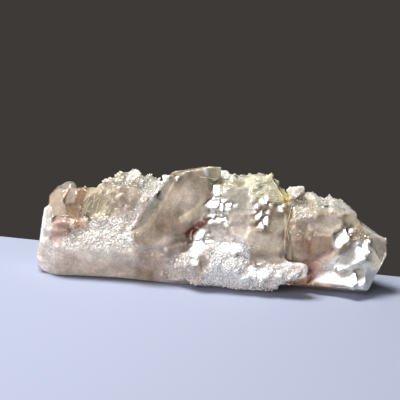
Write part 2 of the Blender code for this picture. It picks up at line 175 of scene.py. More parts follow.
OUTLINES = [
    Outline("front lobe, fan", "fbfbfb", 1, 0.75, 1.5,
            [(-0.4, 9.6), (4.2, 13.8), (11.9, 15.6), (14.8, 12.7), (14.5, 6.4), (16.3, 2.7),
             (21.2, -1.7), (16.8, -3.6), (7.7, -3.8), (-0.7, -2.9), (-2.1, 1.3)]),
    Outline("sugar slope", "dfcec1", 0.95, 0.8, 1.5,
            [(-40, 18.8), (-26.1, 24.3), (-22.5, 26.5), (-28.9, 15.7), (-28.8, 12.6),
             (-38.2, 13.5)]),
    Outline("smoky crystal", "b0a291", 0.55, 0, 0.7,
            [(-28.9, 15.7), (-22.4, 26.1), (-15.7, 37.2), (-11.4, 40.4), (-3.8, 41.9),
             (-0.7, 39.8), (-1, 33.8), (-1, 29.2), (-2.4, 22.2), (-5.6, 20.5), (-9.8, 16.1),
             (-12.6, 13), (-17.7, 10.2), (-24.4, 9.2), (-27.9, 10.4)]),
    Outline("prism, left end", "ccc0b5", 0.9, 0.3, 1.5,
            [(-65, 8.9), (-59.4, 9.6), (-57, 5.9), (-57.5, 1.2), (-60.4, -1.3), (-63.5, -0.4)]),
    Outline("prism, face", "dacbb9", 0.75, 0.1, 1.5,
            [(-57, 5.2), (-45, 6.8), (-29.2, 7.9), (-20.2, 7.8), (-19.2, 3.2), (-44.8, 2.2),
             (-56, 1.3)]),
    Outline("prism, brown patch", "ceb8a4", 0.7, 0.05, 1.5,
            [(-55.1, 5.3), (-51, 6), (-47.9, 4.3), (-47.8, 1.9), (-55.3, 1.4)]),
    Outline("prism, haze", "d0c7b5", 0.9, 0.12, 3,
            [(-47.2, 6.7), (-37.5, 7.7), (-30.7, 7.8), (-30.6, 5.5), (-39.5, 2.9),
             (-45.6, 3.3)]),
    Outline("prism, brown band", "c8b8a8", 0.7, 0.08, 2,
            [(-56.8, 1.3), (-44.8, 2.2), (-29.7, 3.2), (-21.5, 3.8), (-21.1, -2.4),
             (-39.1, -4.1), (-52, -3.8), (-58.9, -2.4)]),
    Outline("prism, olive foot", "b09880", 0.5, 0.05, 1.5,
            [(-27.3, 1.1), (-20.2, 1.6), (-19.6, -2.7), (-27.1, -3.2)]),
    Outline("prism, long chip", "d8c0b4", 1, 0.3, 0.35,
            [(-38.4, -3.2), (-36.2, -1.7), (-34, -1.4), (-31.4, -0.6), (-30.9, -1.9),
             (-36.2, -3.1)]),
    Outline("sugar, bright", "c7c2c0", 1, 0.8, 1.5,
            [(-40.1, 14.1), (-30, 15.2), (-29.4, 10.3), (-31.5, 8.2), (-39.8, 8)]),
    Outline("spire", "bab5b0", 1, 0.08, 0.5,
            [(-62.2, 21.8), (-60.3, 22.3), (-59.8, 18.9), (-58.9, 15.1), (-60.2, 11.1),
             (-63.2, 10.2), (-62.6, 13.7), (-62.4, 18.3)]),
    Outline("rose crystal", "aa9a8b", 0.8, 0.02, 0.5,
            [(-61.2, 26.4), (-59.5, 28.3), (-57.3, 29.2), (-55, 29.3), (-56, 25.3),
             (-55.1, 23.4), (-54.8, 20), (-54.5, 18.5), (-57.5, 17.1), (-59.7, 16.2),
             (-60.7, 21.9)]),
    Outline("rose crystal, top", "9b958a", 0.6, 0.2, 0.5,
            [(-60.2, 28.4), (-57.4, 31.3), (-54.8, 32.6), (-53, 32.7), (-51, 31.7),
             (-51, 30.2), (-53.6, 29.6), (-55, 29.3), (-57.3, 29.2), (-59.1, 28.5)]),
    Outline("lilac head", "a49487", 0.65, 0, 0.3,
            [(-53.7, 29.5), (-51.3, 29.8), (-50.9, 27.9), (-51.5, 25.6), (-52.9, 24.3),
             (-55, 23.7), (-54.6, 26.9)]),
    Outline("lilac head, dark side", "635a48", 0.4, 0, 0.2,
            [(-56.2, 25.1), (-54, 29.4), (-53.7, 29.5), (-54.6, 26.9), (-55, 23.7),
             (-55.7, 24.1)]),
    Outline("amber crystal, upper", "937d64", 0.6, 0.03, 0.6,
            [(-51.4, 30.5), (-48.8, 31.1), (-46.2, 30.9), (-46.1, 28.6), (-47.1, 27),
             (-48.1, 25.1), (-48.8, 23.5), (-53.3, 23.7), (-52.6, 24.4), (-51.5, 25.6),
             (-50.9, 27.9)]),
    Outline("amber crystal, streak", "a2846b", 0.55, 0, 0.6,
            [(-49.6, 29.5), (-48.5, 29.6), (-48.5, 25.8), (-49.6, 24.6)]),
    Outline("amber crystal, lower", "9b8369", 0.6, 0.05, 0.6,
            [(-55, 23.4), (-53.3, 23.7), (-48.8, 23.5), (-49.1, 21.2), (-49.7, 18.1),
             (-53, 17.8), (-54.5, 18.5), (-54.8, 20.8)]),
    Outline("rutile shoulder", "c0b19d", 0.75, 0.2, 1.2,
            [(-46.5, 30.5), (-43.6, 31.1), (-40.6, 30.9), (-40, 26.4), (-40.5, 22.5),
             (-43.5, 21.6), (-46.4, 21.4), (-49.3, 17.7), (-49.4, 21.1), (-48.1, 25.1),
             (-46.7, 27.4)]),
    Outline("sugar, left", "ddcdc1", 1, 0.8, 1.2,
            [(-55.5, 7.2), (-52.8, 12.8), (-47, 16.3), (-41.8, 18.2), (-35.2, 21.4),
             (-34.2, 8.8), (-45, 7.6)]),
    Outline("prism, top edge", "d4ccc3", 0.95, 0.45, 2.5,
            [(-61.6, 8.3), (-56.4, 9.1), (-45.1, 9.1), (-30.1, 9.8), (-16.6, 10.8),
             (-16.4, 6.9), (-29.9, 5.6), (-44.9, 4.9), (-60, 5)]),
    Outline("mauve foot", "b39b8d", 0.7, 0.3, 0.7,
            [(-59.3, 15.8), (-57.5, 17.1), (-54.5, 18.3), (-53, 17.4), (-52.5, 14.4),
             (-54.2, 11.2), (-56.4, 10.3), (-58.7, 10.9), (-59.9, 13.5)]),
    Outline("orange flecks", "facaa2", 0.9, 0.5, 0.9,
            [(-52.6, 17.1), (-49.3, 18.1), (-45.5, 18), (-46.2, 16), (-49.1, 14.6),
             (-52.5, 14.4)]),
    Outline("druse face", "b6a898", 0.8, 0.3, 1.5,
            [(-40.2, 31), (-36.2, 32.8), (-31.4, 33.1), (-28.3, 31), (-26.9, 25.8),
             (-30.1, 23.3), (-37.5, 21.2), (-40.5, 21.4)]),
    Outline("druse, yellow lump", "a69b91", 0.9, 0.3, 0.8,
            [(-37.4, 34.2), (-37.2, 36.9), (-35.4, 38.5), (-33.5, 37.9), (-33.8, 35.2),
             (-35.9, 33.5)]),
    Outline("druse, top", "83796c", 0.85, 0.4, 1.2,
            [(-42.4, 30.8), (-40.4, 33.6), (-37.5, 34.9), (-33.1, 36), (-28.5, 34.8),
             (-27.7, 32.6), (-32.1, 32.3), (-38, 31.1)]),
    Outline("white lump", "887d6d", 1, 0.4, 0.7,
            [(-33, 34.5), (-32.8, 37.9), (-31.4, 39.1), (-28.8, 39.3), (-27.6, 37.5),
             (-27.8, 34.9), (-31, 33.1)]),
    Outline("white druse", "d3cec2", 1, 0.55, 1,
            [(-27.3, 32.6), (-26.4, 35.7), (-24.3, 38.1), (-20.6, 38.8), (-16.8, 37.5),
             (-18.1, 34.4), (-20.8, 30.1), (-23.6, 26.4), (-25.1, 27.5), (-26.8, 30.4)]),
    Outline("pale druse, top", "a2a192", 0.8, 0.3, 0.9,
            [(-27.9, 37.1), (-24.3, 38.5), (-20.6, 38.8), (-19.4, 37.4), (-23.4, 35.2),
             (-26.7, 35)]),
    Outline("smoky crystal, left bevel", "938c82", 0.4, 0, 0.4,
            [(-17.2, 37.1), (-14.6, 37), (-17.2, 31.8), (-20.9, 24.7), (-24.6, 19.1),
             (-27.1, 15.8), (-29.7, 15.3), (-27.7, 20.4), (-23.6, 26.8), (-20.2, 32)]),
    Outline("smoky crystal, cloud", "dacdbf", 0.6, 0, 2.2,
            [(-15, 32), (-9.1, 33.6), (-6.1, 32.3), (-6.5, 28), (-10.9, 25.8), (-14.7, 27.5)]),
    Outline("smoky crystal, brown heart", "bba591", 0.42, 0, 2,
            [(-22.4, 20), (-17.7, 21.5), (-11.3, 21.6), (-11.1, 18.1), (-15.5, 16.3),
             (-22.3, 17)]),
    Outline("smoky crystal, foot", "b3a596", 0.6, 0, 1.5,
            [(-29.3, 14.9), (-23, 16.1), (-21.2, 12.4), (-22.5, 8.8), (-27, 8.5)]),
    # The pale side is partly the stone's own paler colour and partly painted light on a face
    # turned from the lamps.
    Outline("smoky crystal, pale side", "dfd1b8", 0.65, 0, 0.8,
            [(-2.9, 29.1), (-2.3, 26.4), (-3.6, 23.3), (-7.5, 20.7), (-11.2, 19.7),
             (-12, 20.8), (-9.2, 24), (-6.4, 25.8)]),
    Outline("smoky companion", "a99c90", 0.5, 0.05, 0.9,
            [(-18.8, 9.5), (-14.4, 10.6), (-10.4, 12.8), (-8.9, 13.3), (-7.6, 10.7),
             (-8.6, 8.7), (-11.2, 7.7), (-14.1, 5.9), (-16.3, 5), (-19.4, 6.3)]),
    Outline("smoky foot, rough", "b7a492", 0.65, 0.25, 1.5,
            [(-28.5, 7.6), (-19.5, 8.7), (-17, 4.2), (-18.3, 1), (-25.9, 2)]),
    Outline("white wedge", "c4b7ad", 0.9, 0.5, 0.8,
            [(-16.9, 3.4), (-14.8, 5.5), (-10.4, 7.8), (-6.7, 8.8), (-4.3, 6.6), (-3.4, 3.6),
             (-4.9, -1.2), (-8.6, -2.6), (-15.8, -2.8), (-18.2, 0.2)]),
    Outline("wall, head", "e4e1d1", 0.75, 0.1, 0.8,
            [(5.2, 40.2), (10, 40.6), (11.7, 38.4), (11.5, 36.2), (5.9, 36.1)]),
    Outline("wall, needle band", "b3ac97", 0.8, 0.15, 0.8,
            [(-4.6, 37.3), (2.5, 37), (11.1, 36.9), (10.9, 34.6), (3.5, 34.1), (-1.8, 35.2)]),
    Outline("wall, grey face", "b4afa3", 0.8, 0.06, 1.2,
            [(4.2, 33.7), (11.6, 34.3), (13.4, 31), (12.3, 25.2), (6.4, 24), (4.6, 28.1)]),
    Outline("wall, peach face", "c3b8ae", 0.85, 0.12, 1.2,
            [(5.7, 23.9), (13.1, 25.2), (14.4, 21.9), (14.4, 17.3), (10.9, 14.7), (7, 16.7)]),
    Outline("wall, foot", "b3aba2", 0.85, 0.1, 0.9,
            [(-2.3, 20.3), (5.1, 21.2), (6.3, 15.9), (4.2, 13.8), (-1.4, 13.8)]),
    Outline("crest", "c5c1b1", 0.85, 0.15, 1.2,
            [(11.7, 38.4), (12.6, 40.4), (15.2, 40.6), (17.9, 39.3), (20.2, 37.9),
             (22.4, 38.5), (25.5, 37.2), (27.2, 35), (25.9, 32.6), (23.9, 29.8),
             (20.9, 29.6), (17.8, 31.3), (15.9, 31.9), (13.8, 35.6)]),
    Outline("crest, yellow", "ddce96", 0.85, 0.22, 0.8,
            [(23.4, 35.5), (26.8, 35), (27.9, 31.3), (29, 26.8), (27.1, 26.6), (24.6, 30.6)]),
    Outline("crest, brown patch", "b8ad9d", 0.75, 0.1, 0.8,
            [(18, 34), (23.5, 34.7), (24.2, 29.9), (20.9, 29.2), (19.3, 31.8)]),
    Outline("white ridge", "d4cec6", 1, 0.25, 0.4,
            [(10.5, 38.7), (12.5, 37.4), (13.5, 34.4), (15.6, 31.5), (16.2, 28.1),
             (14.7, 28.8), (13.3, 31.7), (12, 34.7)]),
    Outline("grey lobe, upper", "af9f8b", 0.8, 0.05, 0.6,
            [(20.9, 29.2), (26.2, 29.2), (27.6, 25.5), (25.1, 23.8), (21, 23.9)]),
    Outline("grey lobe, lower", "d9ceb9", 0.85, 0.06, 0.9,
            [(20.7, 23.5), (25.1, 23.8), (27.6, 25.1), (27.3, 20.1), (24.1, 17.6),
             (20.7, 18.9)]),
    # The bulge and its foot are smoky brown stone, painted lighter, as light on faces turned from
    # the lamps.
    Outline("brown bulge", "ebdbc7", 0.7, 0.08, 1.2,
            [(14.3, 19.2), (18.8, 18.4), (24.2, 17.2), (27.3, 15.5), (24.5, 13.4),
             (19.4, 11.1), (15.3, 11.2), (13.5, 14.9)]),
    Outline("brown bulge, foot", "fbefd8", 0.75, 0.05, 1.2,
            [(15.7, 10.4), (19.4, 11.1), (24.8, 13.4), (27.3, 15.1), (27.8, 9.7),
             (22.6, 8.6), (16.6, 8.2)]),
    Outline("bulge, pink flecks", "fbe0c9", 0.9, 0.5, 0.8,
            [(13, 15.6), (16.1, 15.1), (18.6, 12.2), (17.3, 9.8), (14.2, 10.3)]),
    # Painted shade in the notch above the front toe's crescent.
    Outline("notch, painted shade", "787370", 0.6, 0.15, 0.8,
            [(15.5, 7.7), (21.8, 8.9), (23.5, 7.1), (19.9, 4.5), (17.7, 4.3), (15.3, 6.1)]),
    Outline("crack", "dbb989", 0.7, 0.3, 0.3,
            [(26.9, 29.3), (28.6, 29.4), (29.9, 24.5), (29.3, 23), (28.6, 20.6),
             (28.5, 17.1), (27.4, 19), (27.9, 22.1), (27.9, 25.9)]),
    Outline("stub", "dad1bb", 1, 0.45, 0.6,
            [(26.8, 35.4), (27.4, 36.9), (32.6, 36.9), (33.4, 35.8), (31.8, 33.4),
             (30.4, 31.8), (28.1, 33.2)]),
    Outline("hill, top", "c6c1ba", 0.9, 0.42, 0.9,
            [(33.2, 33.9), (35.3, 35.6), (39.8, 35.5), (46.7, 33), (50.8, 32.1),
             (54.8, 29.4), (53.8, 28.2), (48.8, 30.1), (43.1, 31.2), (37.8, 32)]),
    Outline("hill, left", "b6aa9a", 0.85, 0.5, 1.2,
            [(28.2, 31.7), (32.9, 32.8), (37.1, 31.9), (38.7, 30.1), (38.4, 25.1),
             (32.6, 23.6), (29.3, 23)]),
    Outline("hill, middle", "aaa69a", 0.85, 0.42, 1.2,
            [(37.8, 32), (43.5, 31.2), (43.8, 28.2), (42.8, 26.2), (38.4, 25.1)]),
    Outline("hill, right", "cdc7bb", 0.85, 0.36, 1.2,
            [(43.5, 30.9), (48.8, 29.7), (53.5, 28.1), (49.4, 27.5), (43.8, 27.4)]),
    Outline("hill, orange flecks", "a7967d", 0.85, 0.3, 0.7,
            [(38.2, 27.4), (43.4, 28.2), (43.9, 26.3), (39.2, 25.2)]),
    # The olive foot is painted lighter, as light on a face turned from the lamps.
    Outline("hill, olive foot", "ccbfa7", 0.8, 0.08, 0.8,
            [(47.2, 26.9), (49.8, 27.5), (54.6, 28), (55.9, 26), (56, 24.5), (54.3, 22.8),
             (51.3, 23.8), (47.5, 24.3)]),
    Outline("hill, foot", "b8ada2", 0.75, 0.1, 1.2,
            [(38.5, 24.8), (43.9, 27.1), (47.3, 26.2), (47.5, 23.9), (46.3, 21.1),
             (39.6, 20.6), (36.8, 22.3)]),
    Outline("hollow, rough", "c3b097", 0.75, 0.44, 1,
            [(28.2, 22.1), (34.9, 23.4), (37, 20.4), (36.2, 16.5), (30.2, 16.1), (27.9, 17.5)]),
    Outline("hollow, right", "a08a74", 0.65, 0.06, 1.2,
            [(36.7, 19.6), (39.6, 20.6), (45.3, 19.5), (46.2, 13.4), (44.1, 11.7),
             (40.5, 10.3), (36.7, 10.4), (35.7, 13.4), (35.8, 16.5)]),
    Outline("hollow, left", "ab9885", 0.75, 0.08, 1.2,
            [(27.4, 14.7), (33.3, 15.9), (35.2, 10.3), (32.3, 9.3), (27.8, 9.3)]),
    Outline("hollow, red line", "bc9e8c", 0.6, 0.1, 0.7,
            [(34.2, 17.9), (35.6, 16.5), (36.2, 12.7), (35.7, 9.9), (34.3, 12.5)]),
    Outline("pink seam", "e7cbbd", 0.75, 0.25, 0.7,
            [(38.1, 8.1), (42, 10.4), (44.4, 12.9), (44.9, 11.7), (44, 9.4), (42, 6.1),
             (40.8, 2.9), (37.7, -0.1), (39.1, 5.1)]),
    Outline("seam, pale edge", "fbdfcc", 0.95, 0.5, 0.6,
            [(44.9, 11.7), (46.6, 13.4), (47.6, 11.2), (45.2, 8.7), (43.2, 5.4), (41.6, 2.6),
             (42.4, 6.1), (44, 9.4)]),
    Outline("seam, sugar", "fbfbf7", 0.95, 0.7, 0.8,
            [(43.1, 7), (45.1, 9.4), (47.3, 10.4), (48.3, 7.3), (47, 4.9), (44, 4.7)]),
    Outline("end, dark face", "b8a187", 0.7, 0.02, 0.35,
            [(49.5, 16.5), (51.6, 17.8), (54, 18.2), (53.8, 16.3), (52.7, 14.6),
             (50.3, 11.6), (49.1, 10.9), (47.5, 11.9), (47.9, 13.9), (48.8, 14.3)]),
    Outline("end, rusty face", "bfaf99", 0.7, 0.45, 0.6,
            [(52.2, 21.9), (53.9, 23.6), (56.2, 23.4), (58.3, 20.8), (57.7, 19.4),
             (54.7, 18.6), (52.8, 18.9)]),
    Outline("end, rim", "e6dfd6", 0.8, 0.1, 0.5,
            [(55.2, 25.6), (58, 23.9), (60.4, 22.3), (63.2, 19.6), (59.9, 19.4), (57.2, 20.7)]),
    Outline("end, upper right", "bbb3a9", 0.8, 0, 0.5,
            [(59.6, 18.6), (62.9, 18.8), (66.1, 17.5), (66.3, 15.6), (65.5, 12.1),
             (64.6, 9.7), (62.9, 12.1), (60.7, 15.2), (58.6, 17)]),
    # These three faces turn to the right and down, away from the lamps; their near-white colours
    # are painted light over the pale pink and grey of the stone.
    Outline("end, lower right", "fbf4df", 0.9, 0, 0.5,
            [(58.7, 16.6), (60.7, 15.2), (62.9, 12.1), (64.6, 9.7), (63.8, 6.9), (61.1, 6.7),
             (58.8, 7.7), (58.9, 12)]),
    Outline("end, pink face", "fbfbfb", 0.95, 0.05, 0.5,
            [(58.8, 7.3), (61.1, 6.7), (64.1, 6.9), (63.3, 3.7), (62.5, 0.2), (61.2, -1.9),
             (58.2, -1.3), (58.9, 2.6)]),
    Outline("end, grey band", "fbfbe3", 0.9, 0, 0.35,
            [(52.4, 8), (54.5, 9.3), (58.5, 10.4), (60.8, 10.2), (60.7, 7.5), (55.2, 6.3),
             (50, 5.1), (48.8, 5.8)]),
    # The underside is darker: partly a pink stain, partly painted shade under the lifted clear
    # end.
    Outline("end, underside", "ab8a72", 0.5, 0.05, 0.8,
            [(28.6, 0), (34.5, 1.3), (42.2, 0.3), (51.7, -0.6), (42.4, -2.9), (29.6, -3)]),
    Outline("smoky crystal, shell", "e7d8c9", 0.7, 0.05, 1,
            [(-19.6, 11), (-17.2, 14.2), (-14.3, 14.8), (-14.1, 12.5), (-17, 10.4)]),
    Outline("clear tablet", "fbf9f1", 0.5, 0, 0.5,
            [(-4.4, 40.7), (-3, 41.9), (1.6, 41.9), (2.1, 39.3), (-0.8, 36.8), (-3.5, 38.1)]),
    Outline("white nub", "f4efe6", 1, 0.1, 0.6,
            [(2.3, 40), (4.4, 40.9), (5.6, 38.8), (3.2, 37.8)]),
    # The strip's bluish white is partly milky quartz and partly a painted reflection where its
    # broken steps flash the light.
    Outline("bluish strip", "eceeee", 1, 0.3, 0.5,
            [(-4.8, 17.3), (-2.3, 17.6), (-2.6, 14.5), (-3.4, 9.8), (-5.5, 6.6), (-7, 4.7),
             (-6.9, 9.6), (-5.9, 13.5)]),
    Outline("hematite", "73422b", 0.8, 0.1, 0.4,
            [(-10.2, 15.7), (-7.7, 18.4), (-4.2, 21.5), (-1.9, 22.8), (-1.2, 21.5),
             (-2.2, 19.5), (-5.4, 17), (-7.3, 14.3), (-9.3, 14)]),
    # Painted shade in a recess at the foot of the middle.
    Outline("recess, painted shade", "baaca2", 0.7, 0.35, 1.2,
            [(15.4, 9.6), (24.2, 11.8), (35.6, 10.3), (35.1, 7.9), (28.3, 7.4), (21, 5),
             (14.9, 5.7)]),
    # A sugary patch that flashes the high light: its pure white is partly painted highlight.
    Outline("front lobe, white patch with painted flash", "fdfcfa", 1, 0.2, 0.5,
            [(3.6, 11.9), (9.9, 13.2), (12.4, 11.7), (10.3, 9.2), (5.6, 9.5)]),
    Outline("front lobe, left face", "b4a79b", 0.85, 0.3, 1.5,
            [(-5.4, 6.2), (-1.9, 9.9), (0.6, 5.4), (-1.2, -0.9), (-5.7, -1.3)]),
    Outline("crescent", "faf7f5", 1, 0.5, 0.6,
            [(14.9, 4.1), (18.2, 2.7), (20.3, 4.5), (22.3, 3.7), (21.4, 0.7), (18.8, -0.4),
             (15.3, 0.9)]),
    Outline("toe sparkle", "d3c5c1", 1, 0.95, 1,
            [(28.4, 6.7), (35.9, 6.8), (36.5, 4.1), (30.2, 2.9)]),
    # The quad, the small quad, the clear band and the foot are near white: milky quartz with a
    # painted highlight over the broken steps that flash the high light.
    Outline("quad", "efecea", 1, 0.1, 0.35,
            [(46.5, 19.2), (49.6, 21.5), (51.4, 18.4), (48.7, 15.1)]),
    Outline("small quad", "efecea", 1, 0, 0.35,
            [(50.9, 21.8), (52.4, 22.1), (52.7, 20.8), (51.6, 20.3)]),
    Outline("clear band", "f5f5f7", 1, 0.05, 0.4,
            [(47.8, 10), (50.4, 12.9), (54.1, 17.2), (57.3, 18.8), (58.7, 14.3),
             (58.1, 10.8), (50.9, 7.1), (49.4, 5.9)]),
    Outline("foot, painted flash", "f7f3f0", 1, 0.2, 0.6,
            [(42, 1.4), (46.5, 6.4), (49.6, 4.9), (54.8, 6.2), (57.9, 7.2), (58.4, 0.3),
             (51.5, 0.7)]),
]

# Iron stains: where each one is centred, how far it reaches, and how strong it is.
Stain = namedtuple("Stain", "centre reach strength")
RED_STAINS = [
    Stain((-7, -15, 23), (5, 6, 3.0), 0.5),
    Stain((-55, -16, 18), (5, 4, 4), 0.25),
    Stain((36, -12, 17), (2.5, 6, 4), 0.35),
    Stain((38, -11, 10), (3, 6, 4), 0.30),
    Stain((-48, -12, 20), (3, 5, 2), 0.30),
    Stain((27, -9, 22), (1.5, 5, 7), 0.30),
    Stain((55, -8, 22), (4, 5, 2), 0.32),
]

# Growth that the plain solid leaves out: a place, how far round it, and how the surface moves.
Push = namedtuple("Push", "place reach move")
PUSHES = [
    Push((28, -2, 38), (7, 9, 6), (0, 0, -3.0)),
    Push((29.5, -8, 20), (4.0, 6, 11), (0, -3.6, 0)),
    Push((-41, -8, 21.8), (6, 5, 2.2), (0, -3.2, 0.8)),
    Push((4, -6, 40), (8, 5, 3), (0, 0.8, -0.8)),
    Push((6.5, -1, 41.5), (4.5, 6, 3), (0, 0, -1.6)),
    Push((17, -2, 42.4), (5, 8, 1.8), (0, 0, -1.8)),
    Push((-0.5, -3, 44), (3.5, 5, 1.5), (0, 0, -1.3)),
    Push((36, 0, 34), (5, 7, 3), (0, 0, 1.4)),
    Push((31, -20, 10.5), (4, 6, 5), (2.4, 0, 0.4)),
    Push((63.8, -4, 18), (3, 5, 2.2), (1.6, -0.6, 0)),
    Push((-57, -2, 32.5), (2.5, 4, 2), (0, 0, -1.7)),
    Push((43.5, 0, 35), (2.5, 6, 3), (0, 0, -1.6)),
    Push((3, -21, 0), (11, 7, 3), (0, 0, 2.4)),
    Push((18, -21, 0), (6, 7, 3), (0, 0, 0.7)),
    Push((-36, -16, 0), (26, 5, 2), (0, 0, 1.1)),
    Push((-62, -11, 1.5), (4, 5, 3), (-1.3, -0.5, 0)),
]

